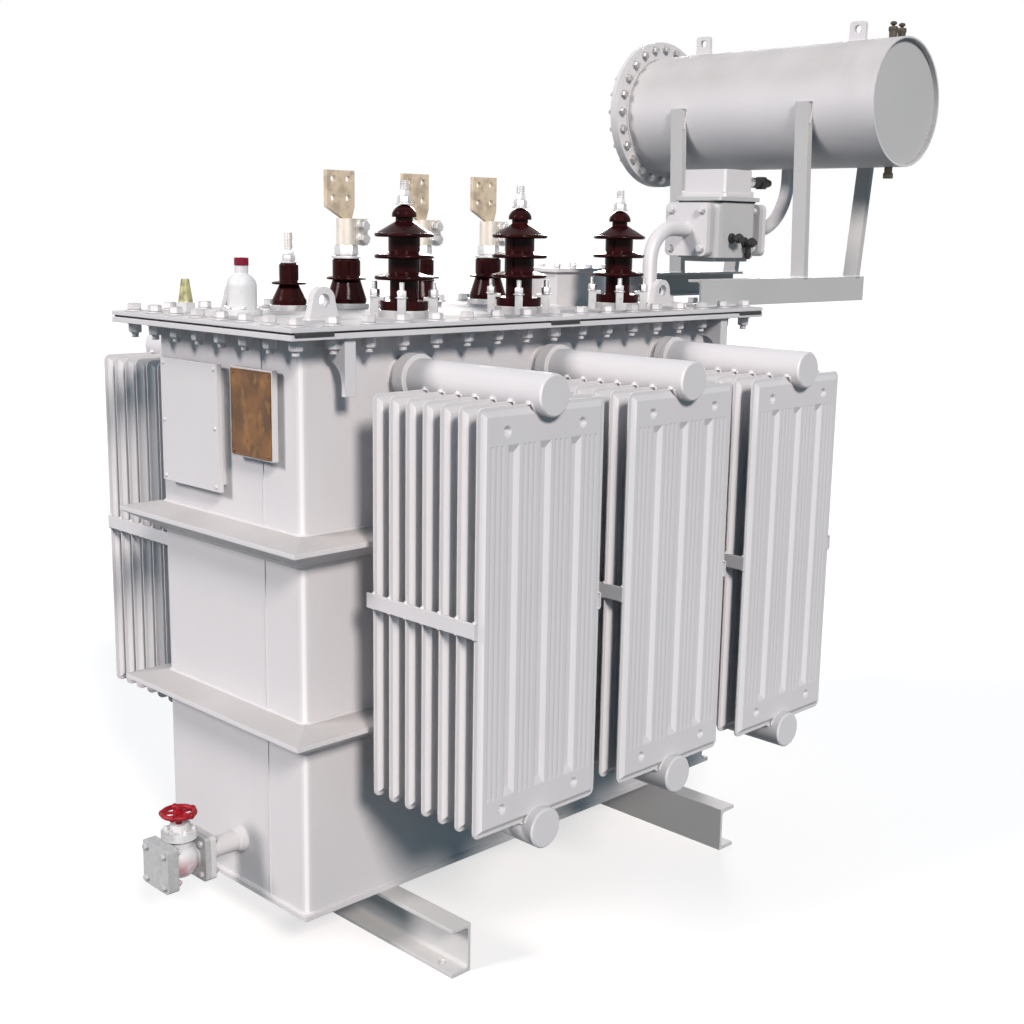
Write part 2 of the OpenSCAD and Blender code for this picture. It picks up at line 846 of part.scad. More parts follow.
// A bank's two headers and two straps on the near side
module header_bank(bank) {
    color(paint)
        translate([bank_xs[bank], -side_y, 0]) {
            for (z = header_zs)
                translate([0, 0, z]) {
                    rod_y(header_flange_r, -header_joint - header_flange_t, -header_joint);
                    rod_y(header_r, -header_end + header_chamfer, -header_joint);
                    translate([0, -header_end + header_chamfer, 0])
                        rotate([90, 0, 0])
                            cylinder(r1 = header_r, r2 = header_r - header_chamfer, h = header_chamfer);
                }
            for (s = [-1, 1])
                translate([s * (panel_w + strap_t) / 2 - strap_t / 2, -panel_last - strap_past,
                    panel_z - strap_h / 2])
                    cube([strap_t, panel_last - panel_first + strap_past + strap_back, strap_h]);
        }
}

module panels_near_a() { panel_bank(0); }
module panels_near_b() { panel_bank(1); }
module panels_near_c() { panel_bank(2); }
module panels_far_a() { mirror([0, 1, 0]) panel_bank(0); }
module panels_far_b() { mirror([0, 1, 0]) panel_bank(1); }
module panels_far_c() { mirror([0, 1, 0]) panel_bank(2); }
module headers_near_a() { header_bank(0); }
module headers_near_b() { header_bank(1); }
module headers_near_c() { header_bank(2); }
module headers_far_a() { mirror([0, 1, 0]) header_bank(0); }
module headers_far_b() { mirror([0, 1, 0]) header_bank(1); }
module headers_far_c() { mirror([0, 1, 0]) header_bank(2); }

// Flanged pipe ends welded to the tank wall, for the radiators and the drain
module tank_stubs() {
    color(paint) {
        for (s = [0, 1], x = bank_xs, z = header_zs)
            mirror([0, s, 0])
                translate([x, -side_y, z]) {
                    rod_y(header_r, -header_joint, 0);
                    rod_y(header_flange_r, -header_joint, -header_joint + header_flange_t);
                }
        translate([end_x, drain_y, valve_z]) {
            rod_x(drain_r, -drain_l, 0);
            translate([-drain_l - drain_flange_t, 0, 0])
                square_flange(drain_flange, drain_flange_t, drain_flange_c);
        }
    }
}

// Square flange facing along X, from x zero
module square_flange(side, t, corner) {
    rotate([90, 0, 90])
        linear_extrude(height = t)
            round_rect(side, side, corner);
}

// Clamp that holds a bushing's foot down, standing on the cover on the +X side
module claw() {
    lip_z = hv_ring_h + hv_foot_h;
    translate([hv_ring_r - 1, -claw_w / 2, 0])
        cube([claw_out + 1, claw_w, lip_z + claw_t]);
    translate([hv_foot_r - claw_in, -claw_w / 2, lip_z])
        cube([claw_in + hv_ring_r - hv_foot_r, claw_w, claw_t]);
}

module bushing_rings() {
    color(steel)
        translate([0, 0, top_z]) {
            for (x = hv_xs)
                translate([x, -hv_y, 0]) {
                    cylinder(r = hv_ring_r, h = hv_ring_h);
                    for (i = [0 : claw_n - 1])
                        rotate([0, 0, (i + 0.5) * 360 / claw_n])
                            claw();
                }
            for (x = lv_xs)
                translate([x, lv_y, 0])
                    cylinder(r = lv_skirt_r + lv_ring_out, h = lv_ring_h);
            translate([neutral_x, lv_y, 0])
                cylinder(r = neutral_r + lv_ring_out, h = lv_ring_h);
        }
}

// Half section of a shed with a round edge, its underside at height zero
module shed_section(inner_r, shed_r, t, rise) {
    edge = shed_r - t / 2;
    polygon([[0, 0], [edge, 0], [edge, t], [inner_r, t + rise], [0, t + rise]]);
    translate([edge, t / 2])
        circle(r = t / 2);
}

// Half section of a dome of radius r and height h on a straight edge
module dome_section(r, edge, h) {
    arc = (r * r + h * h) / (2 * h);
    square([r, edge]);
    intersection() {
        translate([0, edge + h - arc])
            circle(r = arc);
        translate([0, edge / 2])
            square([r, h + edge]);
    }
}

module hv_bushings() {
    color(porcelain)
        for (x = hv_xs)
            translate([x, -hv_y, hv_z])
                rotate_extrude() {
                    square([hv_foot_r, hv_foot_h]);
                    square([hv_body_r, hv_shed_z + 1]);
                    translate([0, hv_shed_z])
                        square([hv_core_r, 2 * hv_shed_pitch + 1]);
                    for (i = [0, 1])
                        translate([0, hv_shed_z + i * hv_shed_pitch])
                            shed_section(hv_core_r, hv_shed_r, hv_shed_t, hv_shed_rise);
                    translate([0, hv_hat_z])
                        shed_section(hv_neck_r, hv_shed_r, hv_shed_t, hv_hat_rise);
                    translate([0, hv_neck_z - 1])
                        square([hv_neck_r, hv_neck_h + 2]);
                    translate([0, hv_dome_z])
                        dome_section(hv_dome_r, hv_dome_edge, hv_dome_h);
                }
}

module hv_terminals() {
    color(steel)
        for (x = hv_xs)
            translate([x, -hv_y, hv_z + hv_h])
                cylinder(r = hv_stud_r, h = hv_stud_h);
}

// Small porcelain bushing: flared skirt, one shed and a plain upper part
module small_bushing(skirt_r, core_r, h, shed_z) {
    rotate_extrude() {
        polygon([[0, 0], [skirt_r, 0], [skirt_r, small_foot], [core_r, shed_z], [core_r, h - small_chamfer],
            [core_r - small_chamfer, h], [0, h]]);
        translate([0, shed_z])
            shed_section(core_r, skirt_r, small_shed_t, small_shed_t / 2);
    }
}

module lv_bushings() {
    color(porcelain) {
        for (x = lv_xs)
            translate([x, lv_y, lv_z])
                small_bushing(lv_skirt_r, lv_r, lv_h, lv_shed_z);
        translate([neutral_x, lv_y, lv_z])
            small_bushing(neutral_r, neutral_core, neutral_h, neutral_shed_z);
    }
}

// Outline of a flag with its four holes, neck at the origin
module flag_outline() {
    difference() {
        polygon([[-flag_neck / 2, 0], [flag_neck / 2, 0], [flag_off + flag_w / 2, flag_neck_h],
            [flag_off + flag_w / 2, flag_neck_h + flag_h], [flag_off - flag_w / 2, flag_neck_h + flag_h],
            [flag_off - flag_w / 2, flag_neck_h]]);
        for (u = [-1, 1], v = [-1, 1])
            translate([flag_off, flag_neck_h + flag_h / 2])
                translate([u * flag_hole_pitch / 2, v * flag_hole_pitch / 2])
                    circle(r = flag_hole_r);
    }
}

// Split clamp under a flag, round the stem, with two ears towards +X
module stem_clamp() {
    cylinder(r = clamp_r, h = clamp_h);
    for (s = [-1, 1])
        translate([0, s * (clamp_ear_t + clamp_slot) / 2 - clamp_ear_t / 2, 0])
            cube([clamp_ear, clamp_ear_t, clamp_h]);
}

module lv_terminals() {
    color(copper) {
        for (x = lv_xs)
            translate([x, lv_y, lv_z + lv_h]) {
                cylinder(r = lv_stem_r, h = lv_stem_h);
                translate([0, 0, lv_stem_h - clamp_h])
                    stem_clamp();
                translate([0, 0, lv_stem_h])
                    rotate([90, 0, 0])
                        linear_extrude(height = flag_t, center = true)
                            flag_outline();
            }
        translate([neutral_x, lv_y, lv_z + neutral_h])
            cylinder(r = neutral_stud_r, h = neutral_stud_h);
    }
}

module relief_valve() {
    color(steel)
        translate([relief_x, relief_y, top_z])
            rotate_extrude() {
                square([relief_r + relief_foot_out, relief_foot_h]);
                square([relief_r, relief_side]);
                translate([0, relief_side - 1])
                    dome_section(relief_r, 1, relief_h - relief_side - relief_foot_h);
                square([relief_neck_r, relief_h]);
            }
}

module relief_cap() {
    color(red)
        translate([relief_x, relief_y, top_z + relief_h])
            cylinder(r = relief_cap_r, h = relief_cap_h);
}

module thermometer_pocket() {
    color(brass)
        translate([pocket_x, pocket_y, top_z]) {
            cylinder(r = pocket_r, h = pocket_foot, $fn = 6);
            translate([0, 0, pocket_foot])
                cylinder(r1 = pocket_mid_r, r2 = pocket_top_r, h = pocket_h - pocket_foot);
        }
}

module tap_switch_box() {
    color(paint)
        translate([tap_x, tap_y, top_z]) {
            linear_extrude(height = tap_h)
                square([tap_l, tap_w], center = true);
            translate([0, 0, tap_h])
                linear_extrude(height = tap_lid)
                    square([tap_l + 2 * tap_lid, tap_w + 2 * tap_lid], center = true);
        }
}

module relay_body() {
    color(paint) {
        translate([relay_x, relay_y, relay_axis]) {
            square_flange(relay_flange, relay_flange_t, relay_flange_c);
            translate([relay_l - relay_flange_t, 0, 0])
                square_flange(relay_flange, relay_flange_t, relay_flange_c);
            rod_x(relay_r, 1, relay_l - 1);
        }
        translate([relay_mid, relay_y, relay_axis - relay_down]) {
            linear_extrude(height = relay_up + relay_down)
                round_rect(chamber_l, relay_w, relay_edge);
            translate([0, 0, relay_up + relay_down])
                linear_extrude(height = relay_plate_t)
                    round_rect(chamber_l, relay_w + 2 * relay_plate_out, relay_plate_t);
            translate([0, 0, -relay_plate_t])
                linear_extrude(height = relay_plate_t)
                    round_rect(chamber_l - 2 * relay_plate_back,
                        relay_w - 2 * relay_plate_back, relay_plate_t);
        }
    }
}

module relay_box() {
    color(paint)
        translate([relay_mid, relay_y, relay_axis + relay_up + relay_plate_t]) {
            linear_extrude(height = relay_box_foot)
                round_rect(relay_box_l, relay_box_w, relay_box_c);
            linear_extrude(height = relay_box_h)
                round_rect(relay_box_l - 2 * relay_box_back, relay_box_w - 2 * relay_box_back,
                    relay_box_c - relay_box_back / 2);
        }
}

// Quarter bend in the plane of X and Z, centred on the origin
module bend(start, turn_r) {
    rotate([90, 0, 0])
        rotate([0, 0, start])
            rotate_extrude(angle = 90)
                translate([turn_r, 0])
                    circle(r = pipe_r);
}

module relay_pipes() {
    color(paint) {
        translate([pipe_x, relay_y, top_z])
            cylinder(r = pipe_r, h = relay_z - pipe_bend);
        translate([pipe_x + pipe_bend, relay_y, relay_axis - pipe_bend])
            bend(90, pipe_bend);
        translate([0, relay_y, relay_axis]) {
            rod_x(pipe_r, pipe_x + pipe_bend, relay_x - 1);
            for (x = [relay_x - relay_flange_t, relay_x + relay_l])
                translate([x, 0, 0])
                    square_flange(relay_flange, relay_flange_t, relay_flange_c);
            rod_x(pipe_r, relay_x + relay_l + 1, riser_x - riser_bend);
        }
        translate([riser_x - riser_bend, relay_y, relay_axis + riser_bend])
            bend(270, riser_bend);
        difference() {
            translate([riser_x, relay_y, relay_axis + riser_bend])
                cylinder(r = pipe_r, h = cons_axis - relay_axis - riser_bend);
            translate([cons_x, relay_y, cons_axis])
                rod_y(cons_r + cons_fit, -cons_r, cons_r);
        }
    }
}

module conservator_shell() {
    color(paint)
        translate([cons_x, 0, cons_axis])
            difference() {
                union() {
                    rod_y(cons_r, -cons_l / 2, cons_l / 2);
                    rod_y(cons_flange_r, cons_l / 2 - cons_flange_t, cons_l / 2);
                }
                rod_y(cons_r - cons_t, -cons_l / 2 - 1, cons_l / 2 + 1);
            }
}

module conservator_end() {
    color(paint)
        translate([cons_x, 0, cons_axis])
            rod_y(cons_r - cons_t, -cons_l / 2 + cons_recess, -cons_l / 2 + cons_recess + cons_t);
}

module conservator_cover() {
    color(paint)
        translate([cons_x, 0, cons_axis])
            rod_y(cons_flange_r, cons_l / 2, cons_l / 2 + cons_flange_t);
}

module conservator_lugs() {
    color(paint)
        for (y = [-1, 1])
            difference() {
                translate([cons_x, y * cons_lug_gap / 2, cons_axis + cons_r])
                    rotate([90, 0, 90])
                        linear_extrude(height = cons_lug_t, center = true)
                            difference() {
                                translate([0, (cons_lug_h - cons_lug_t) / 2])
                                    round_rect(cons_lug_w, cons_lug_h + cons_lug_t, cons_lug_c);
                                translate([0, cons_lug_eye])
                                    circle(r = cons_lug_r);
                            }
                translate([cons_x, 0, cons_axis])
                    rod_y(cons_r, -cons_l / 2, cons_l / 2);
            }
}

module conservator_plugs() {
    color(brass)
        for (p = [[-1, 0.5], [1, 0.5], [0, -1.5]])
            difference() {
                translate([cons_x + p[0] * 2 * plug_r, -cons_l / 2 + 4 * plug_r,
                    cons_axis + sign(p[1]) * (cons_r + plug_r / 2)])
                    cylinder(r = plug_r, h = 3 * plug_r, center = true);
                translate([cons_x, 0, cons_axis])
                    rod_y(cons_r, -cons_l / 2, cons_l / 2);
            }
}

module support_beams() {
    color(paint)
        for (s = [0, 1])
            mirror([0, s, 0])
                translate([beam_x, -support_gap / 2 - beam_w / 2, top_z])
                    rotate([90, 0, 90])
                        linear_extrude(height = beam_l)
                            channel_section(beam_w, beam_h, beam_t, beam_t, beam_t);
}

// Outline of a post or strut from the beam up to the conservator's axis
module post_outline(foot, head) {
    polygon([[foot, 0], [foot + post_d, 0], [head + post_d, cons_z - beam_h], [head, cons_z - beam_h]]);
}

module support_posts() {
    color(paint)
        for (y = [-1, 1])
            translate([0, y * support_gap / 2, top_z + beam_h]) {
                difference() {
                    rotate([90, 0, 0])
                        linear_extrude(height = post_w, center = true) {
                            post_outline(post_x - post_d + post_lean, post_x - post_d);
                            post_outline(strut_foot, strut_x);
                        }
                    translate([cons_x, 0, cons_z - beam_h])
                        rod_y(cons_r + cons_fit, -post_w, post_w);
                }
            }
}

module terminal_box() {
    color(paint)
        translate([end_x, tbox_y, rim_z - tbox_drop]) {
            translate([-tbox_d, -tbox_w / 2, -tbox_h / 2])
                cube([tbox_d, tbox_w, tbox_h]);
            translate([-tbox_d - tbox_lid, -tbox_w / 2 - tbox_lip, -tbox_h / 2 - tbox_lip])
                cube([tbox_lid, tbox_w + 2 * tbox_lip, tbox_h + 2 * tbox_lip]);
        }
}

module plate_bracket() {
    color(paint)
        translate([end_x, plate_y, rim_z - plate_drop]) {
            translate([-plate_off, -plate_w / 2 - tray_rim, -plate_h / 2 - tray_rim])
                cube([tray_d, plate_w + 2 * tray_rim, plate_h + 2 * tray_rim]);
            for (z = [-1, 1])
                translate([tray_d - plate_off, rail_back - plate_w / 2, z * plate_h / 4 - rail_h / 2])
                    cube([plate_off - tray_d, plate_w - 2 * rail_back, rail_h]);
        }
}

module rating_plate() {
    color(brass)
        translate([end_x - plate_off - plate_t, plate_y - plate_w / 2, rim_z - plate_drop - plate_h / 2])
            cube([plate_t, plate_w, plate_h]);
}

module drain_valve() {
    color(steel)
        translate([valve_x, drain_y, valve_z])
            difference() {
                union() {
                    for (x = [-drain_body_l / 2 - drain_flange_t, -drain_body_l / 2,
                            drain_body_l / 2 - drain_flange_t])
                        translate([x, 0, 0])
                            square_flange(drain_flange, drain_flange_t, drain_flange_c);
                    rod_x(drain_body_r, 1 - drain_body_l / 2, drain_body_l / 2 - 1);
                    sphere(r = globe_r);
                    cylinder(r = bonnet_neck_r, h = bonnet_flange_z + 1);
                    translate([0, 0, bonnet_flange_z])
                        cylinder(r = bonnet_flange_r, h = bonnet_flange_t);
                    cylinder(r = bonnet_r, h = bonnet_h);
                }
                translate([0, 0, bonnet_h - stem_in])
                    cylinder(r = stem_r + stem_fit, h = stem_in + 1);
            }
}

module drain_handwheel() {
    color(red)
        translate([valve_x, drain_y, bonnet_z]) {
            translate([0, 0, wheel_up])
                rotate_extrude()
                    translate([wheel_r - wheel_rim, 0])
                        circle(r = wheel_rim);
            translate([0, 0, wheel_up - wheel_rim])
                cylinder(r = wheel_hub, h = 2 * wheel_rim);
            for (i = [0 : wheel_spokes - 1])
                rotate([0, 0, i * 360 / wheel_spokes]) {
                    translate([wheel_hub / 2, -wheel_rim / 2, wheel_up - wheel_rim / 2])
                        cube([wheel_r - wheel_rim - wheel_hub / 2, wheel_rim, wheel_rim]);
                    translate([wheel_r - wheel_rim, 0, wheel_up])
                        sphere(r = wheel_lobe);
                }
            translate([0, 0, -stem_in + 1])
                cylinder(r = stem_r, h = stem_in - 1 + wheel_up);
        }
}

base_channels();
tank_floor();
tank_walls();
tank_rim();
cover_gasket();
cover_plate();
stiffener_bands();
tank_hooks();
cover_lugs();
panels_near_a();
panels_near_b();
panels_near_c();
panels_far_a();
panels_far_b();
panels_far_c();
headers_near_a();
headers_near_b();
headers_near_c();
headers_far_a();
headers_far_b();
headers_far_c();
tank_stubs();
bushing_rings();
hv_bushings();
hv_terminals();
lv_bushings();
lv_terminals();
relief_valve();
relief_cap();
thermometer_pocket();
tap_switch_box();
relay_body();
relay_box();
relay_pipes();
conservator_shell();
conservator_end();
conservator_cover();
conservator_lugs();
conservator_plugs();
support_beams();
support_posts();
terminal_box();
plate_bracket();
rating_plate();
drain_valve();
drain_handwheel();
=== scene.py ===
"""Looks of an oil-filled power transformer: its finishes, fasteners, welds and small fittings."""

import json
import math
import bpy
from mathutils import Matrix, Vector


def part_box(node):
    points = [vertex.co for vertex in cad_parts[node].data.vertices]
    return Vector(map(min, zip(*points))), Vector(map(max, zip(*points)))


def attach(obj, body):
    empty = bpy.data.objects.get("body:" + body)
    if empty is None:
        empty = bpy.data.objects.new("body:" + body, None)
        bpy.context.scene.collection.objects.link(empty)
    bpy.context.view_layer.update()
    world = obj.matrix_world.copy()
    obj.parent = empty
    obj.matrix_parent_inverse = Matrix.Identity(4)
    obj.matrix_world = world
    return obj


bl_info = {
    "name": "Power transformer finish",
    "version": (1, 0, 0),
    "blender": (4, 5, 0),
    "location": "View3D > Sidebar > Transformer",
    "description": "Finishes, fasteners, welds and small fittings of a power transformer",
    "category": "Object",
}

import bmesh
import bpy
from bpy.props import FloatProperty, FloatVectorProperty, IntProperty, PointerProperty
from mathutils import Matrix, Vector

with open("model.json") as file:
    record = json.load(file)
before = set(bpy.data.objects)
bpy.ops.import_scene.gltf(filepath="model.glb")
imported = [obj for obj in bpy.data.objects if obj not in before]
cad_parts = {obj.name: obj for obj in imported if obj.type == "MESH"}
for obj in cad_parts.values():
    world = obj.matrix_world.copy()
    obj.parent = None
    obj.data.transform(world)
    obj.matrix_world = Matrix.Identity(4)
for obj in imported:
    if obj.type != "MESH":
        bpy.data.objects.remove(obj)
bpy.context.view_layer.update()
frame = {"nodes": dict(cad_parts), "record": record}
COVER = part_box("cover_plate")
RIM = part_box("tank_rim")
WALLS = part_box("tank_walls")
MOUNTS = {mount["name"]: mount for mount in frame["record"]["mounts"]}
BANKS = ("near_a", "near_b", "near_c", "far_a", "far_b", "far_c")
SIDES = (-1, 1)
UP, DOWN, OUTWARD = (0, 0, 1), (0, 0, -1), (-1, 0, 0)
SHARP = math.radians(40)


def middle(box):
    """Middle of a box."""
    return (box[0] + box[1]) / 2


def spot(mount):
    """Where a mount of the record is."""
    return Vector(MOUNTS[mount]["pos_m"])


def inset(box, edge):
    """A box drawn in by the same edge on every side."""
    step = Vector((edge, edge, edge))
    return box[0] + step, box[1] - step


def spread(low, high, gaps):
    """Evenly spaced values from low to high."""
    return [low + (high - low) * i / gaps for i in range(gaps + 1)]


def setting(kind, **limits):
    """A kind of setting that a user can change, made from a name, a text and a default."""
    return lambda name, text, default: kind(name=name, description=text, default=default, **limits)


colour = setting(FloatVectorProperty, subtype="COLOR", size=3, min=0, max=1)
length = setting(FloatProperty, unit="LENGTH", min=0, precision=4)
count = setting(IntProperty, min=1)
amount = setting(FloatProperty, min=0)
angle = setting(FloatProperty, unit="ROTATION")
point = setting(FloatVectorProperty, subtype="TRANSLATION")
direction = setting(FloatVectorProperty, subtype="DIRECTION")


class TransformerFinish(bpy.types.PropertyGroup):
    """Colours of the finishes."""

    paint: colour("Paint", "Pale grey enamel of tank and parts", (0.61, 0.592, 0.598))
    # Darker enamel as painted shade, for parts that stand in shade or far from the light.
    dull: colour("Dull paint", "Greyer enamel of supports, base and plain end", (0.47, 0.466, 0.462))
    # Colour of dust and rain marks, also used as painted shade on upper slopes.
    grime: colour("Grime", "Dust and rain marks on the enamel", (0.345, 0.322, 0.31))
    gasket: colour("Gasket", "Black rubber of gaskets", (0.014, 0.014, 0.015))
    glaze: colour("Glaze", "Dark red-brown glaze of the porcelain", (0.0145, 0.0021, 0.0024))
    worn: colour("Worn zinc", "Dull zinc of the conservator's bolts", (0.45, 0.45, 0.45))
    zinc: colour("Zinc", "Bright zinc of bolts and fittings", (0.58, 0.58, 0.59))
    alloy: colour("Alloy", "Pale cast alloy of the relief valve", (0.60, 0.60, 0.60))
    tin: colour("Tin", "Tinned stems and clamps, low-voltage side", (0.68, 0.63, 0.56))
    palm: colour("Palm", "Dull tinned copper of the flags", (0.62, 0.51, 0.38))
    brass: colour("Bronze", "Filling and drain plugs", (0.075, 0.066, 0.055))
    pocket: colour("Pocket", "Greenish brass of the thermometer pocket", (0.40, 0.39, 0.19))
    valve: colour("Valve", "Grey paint of the drain valve", (0.43, 0.43, 0.43))
    primer: colour("Primer", "Red primer on the drain valve's body", (0.40, 0.11, 0.15))
    plate: colour("Rating plate", "Bare etched plate on the end wall", (0.13, 0.058, 0.018))
    red: colour("Red", "Handwheel", (0.32, 0.004, 0.013))
    cap: colour("Cap", "Dark red cap of the relief valve", (0.20, 0.004, 0.024))
    black: colour("Black", "Cocks and gland rubbers", (0.012, 0.012, 0.014))


class TransformerSizes(bpy.types.PropertyGroup):
    """Sizes of the fasteners, welds and small fittings."""

    bolt_inset: length("Bolt inset", "From the cover's edge to its bolts", 0.032)
    bolt_flats: length("Bolt width", "Width across flats of a cover bolt", 0.024)
    long_gaps: count("Gaps, long side", "Spaces between bolts on a long side", 16)
    end_gaps: count("Gaps, end", "Spaces between bolts on an end", 7)
    tab: length("Gasket tab", "Length of a rubber tab past the rim", 0.086)
    tab_out: length("Outer tabs", "From the middle to the outer tabs", 0.640)
    bead: length("Weld bead", "Radius of a weld bead", 0.0045)
    seam: length("Seam", "Radius of a flat butt seam", 0.0024)
    seam_y: length("Seam place", "From the middle to an end seam", 0.120)
    corner: length("Tank corner", "Outside radius of the tank's corners", 0.016)
    band: length("Band height", "Height of a stiffener band", 0.058)
    hook: length("Hook plate", "Thickness of a lifting hook", 0.025)
    hook_seat: length("Hook seat", "Height of the wall beside a hook's root", 0.042)
    lug_w: length("Lug width", "Width of a cover lug at its foot", 0.072)
    lug_t: length("Lug thickness", "Thickness of a cover lug", 0.016)
    panels: count("Panels", "Panels in a radiator bank", 7)
    panel_t: length("Panel thickness", "Thickness across a panel's flutes", 0.016)
    header: length("Header", "Radius of a radiator header", 0.038)
    collar: length("Header collar", "Radius of the collars by the tank wall", 0.046)
    header_notch: length("Header notch", "From a panel's end to the header's axis", 0.0135)
    clamp_ring: length("Clamp ring", "Radius of a tall bushing's ring of studs", 0.0575)
    clamp_flats: length("Clamp nut", "Width across flats of a clamp's nut", 0.017)
    stud_flats: length("Stud nut", "Width across flats of a terminal stud's nut", 0.024)
    ear: length("Ear bolt", "From a stem's axis to its clamp bolts", 0.036)
    ear_t: length("Ears", "Thickness across a clamp's two ears", 0.023)
    clamp_h: length("Stem clamp", "Height of a stem's clamp", 0.056)
    flag_low: length("Flag", "From a stem clamp's top to the flag's middle", 0.062)
    pipe: length("Oil pipe", "Radius of the oil pipes", 0.018)
    flange_bolt: length("Flange bolt", "From the pipe's axis to the relay's flange bolts", 0.048)
    flange: length("Relay flange", "Thickness of a relay flange", 0.014)
    box_foot: length("Relay box foot", "Height of the relay box's foot", 0.009)
    plate_t: length("Relay plate", "Thickness of the plate over the relay", 0.010)
    shell: length("Conservator", "Outside radius of the conservator", 0.157)
    shell_bolts: count("Conservator bolts", "Bolts round the conservator's flange", 24)
    shell_flange: length("Conservator flange", "Thickness of the conservator's flange", 0.012)
    post: length("Post", "Width of a support post", 0.040)
    post_d: length("Post depth", "Depth of a support post", 0.018)
    post_lean: length("Post lean", "How far a post's foot stands in", 0.020)
    strut_back: length("Strut", "From a beam's end to its strut's foot", 0.040)
    drain_bolt: length("Drain bolt", "From the pipe's axis to the drain's flange bolts", 0.032)
    drain_flange: length("Drain flange", "Thickness of a drain flange", 0.012)
    drain_pipe: length("Drain pipe", "Radius of the drain pipe", 0.021)
    bonnet: length("Bonnet", "Height of the bonnet's flange over the pipe's axis", 0.060)
    pocket_foot: length("Pocket foot", "Height of the pocket's hexagon", 0.020)
    drain_body: length("Drain valve", "Length between the drain valve's joints", 0.084)


class TransformerStage(bpy.types.PropertyGroup):
    """Camera, floor and light."""

    eye: point("Camera", "Where the camera stands", (-2.1464, -2.3013, 1.4204))
    azimuth: angle("Azimuth", "Compass angle of the view", math.radians(45.009))
    tilt: angle("Tilt", "How far the view looks down", math.radians(11.320))
    roll: angle("Roll", "Turn of the camera about its view", math.radians(0.959))
    lens: amount("Lens", "Focal length on a 36 mm sensor", 49.84)
    floor: colour("Floor", "Colour of the floor", (0.42, 0.40, 0.39))
    floor_bounce: colour("Floor bounce", "Light that the floor throws back", (0.045, 0.058, 0.064))
    glow: amount("Floor glow", "Lift of the floor towards white", 0.62)
    sky_tint: colour("Sky tint", "Colour of the even light", (0.20, 0.67, 1.0))
    sky: amount("Sky", "Strength of the even light", 0.28)
    key: amount("Key", "Strength of the main lamp", 3.3)
    fill: amount("Fill", "Strength of the side lamp", 2.6)
    back: amount("Back", "Strength of the lamp behind", 2.5)
    key_way: direction("Key direction", "Way that the main light travels", (0.33, 0.78, -0.55))
    fill_way: direction("Fill direction", "Way that the side light travels", (0.82, -0.26, -0.51))
    back_way: direction("Back direction", "Way that the back light travels", (-0.70, -0.66, -0.25))


class Wire:
    """One socket of a node tree, with arithmetic that adds Math nodes."""

    def __init__(self, nodes, socket):
        self.nodes, self.socket = nodes, socket

    def _math(self, operation, *values):
        return self.nodes.node("ShaderNodeMath", {"operation": operation}, dict(enumerate(values)))

    def __add__(self, other):
        return self._math("ADD", self, other)

    def __rsub__(self, other):
        return self._math("SUBTRACT", other, self)

    def __mul__(self, other):
        return self._math("MULTIPLY", self, other)

    __radd__ = __add__
    __rmul__ = __mul__

    def between(self, low, high):
        """Rises smoothly from 0 at low to 1 at high."""
        return self.nodes.node("ShaderNodeMapRange", {"interpolation_type": "SMOOTHSTEP"},
                               {"Value": self, "From Min": low, "From Max": high})


class Nodes:
    """A node tree in the making."""

    def __init__(self, tree):
        self.tree = tree
        self.tree.nodes.clear()

    def node(self, kind, settings=None, inputs=None, output=0):
        """Adds a node, sets it up, feeds its sockets and gives one of its outputs."""
        made = self.tree.nodes.new(kind)
        for key, value in (settings or {}).items():
            setattr(made, key, value)
        for key, value in (inputs or {}).items():
            self.feed(made.inputs[key], value)
        return Wire(self, made.outputs[output])

    def feed(self, socket, value):
        """Links a wire to a socket, or sets a plain value on it."""
        if isinstance(value, Wire):
            self.tree.links.new(value.socket, socket)
        else:
            socket.default_value = value

    def split(self, vector):
        """Three parts of a vector."""
        parts = self.tree.nodes.new("ShaderNodeSeparateXYZ")
        self.feed(parts.inputs[0], vector)
        return [Wire(self, part) for part in parts.outputs]

    def seen(self):
        """One where the eye, a reflection or a view through glass looks, and zero for the light itself."""
        rays = ("Is Camera Ray", "Is Glossy Ray", "Is Transmission Ray")
        eye, mirror, glass = (self.node("ShaderNodeLightPath", output=ray) for ray in rays)
        return eye + mirror + glass


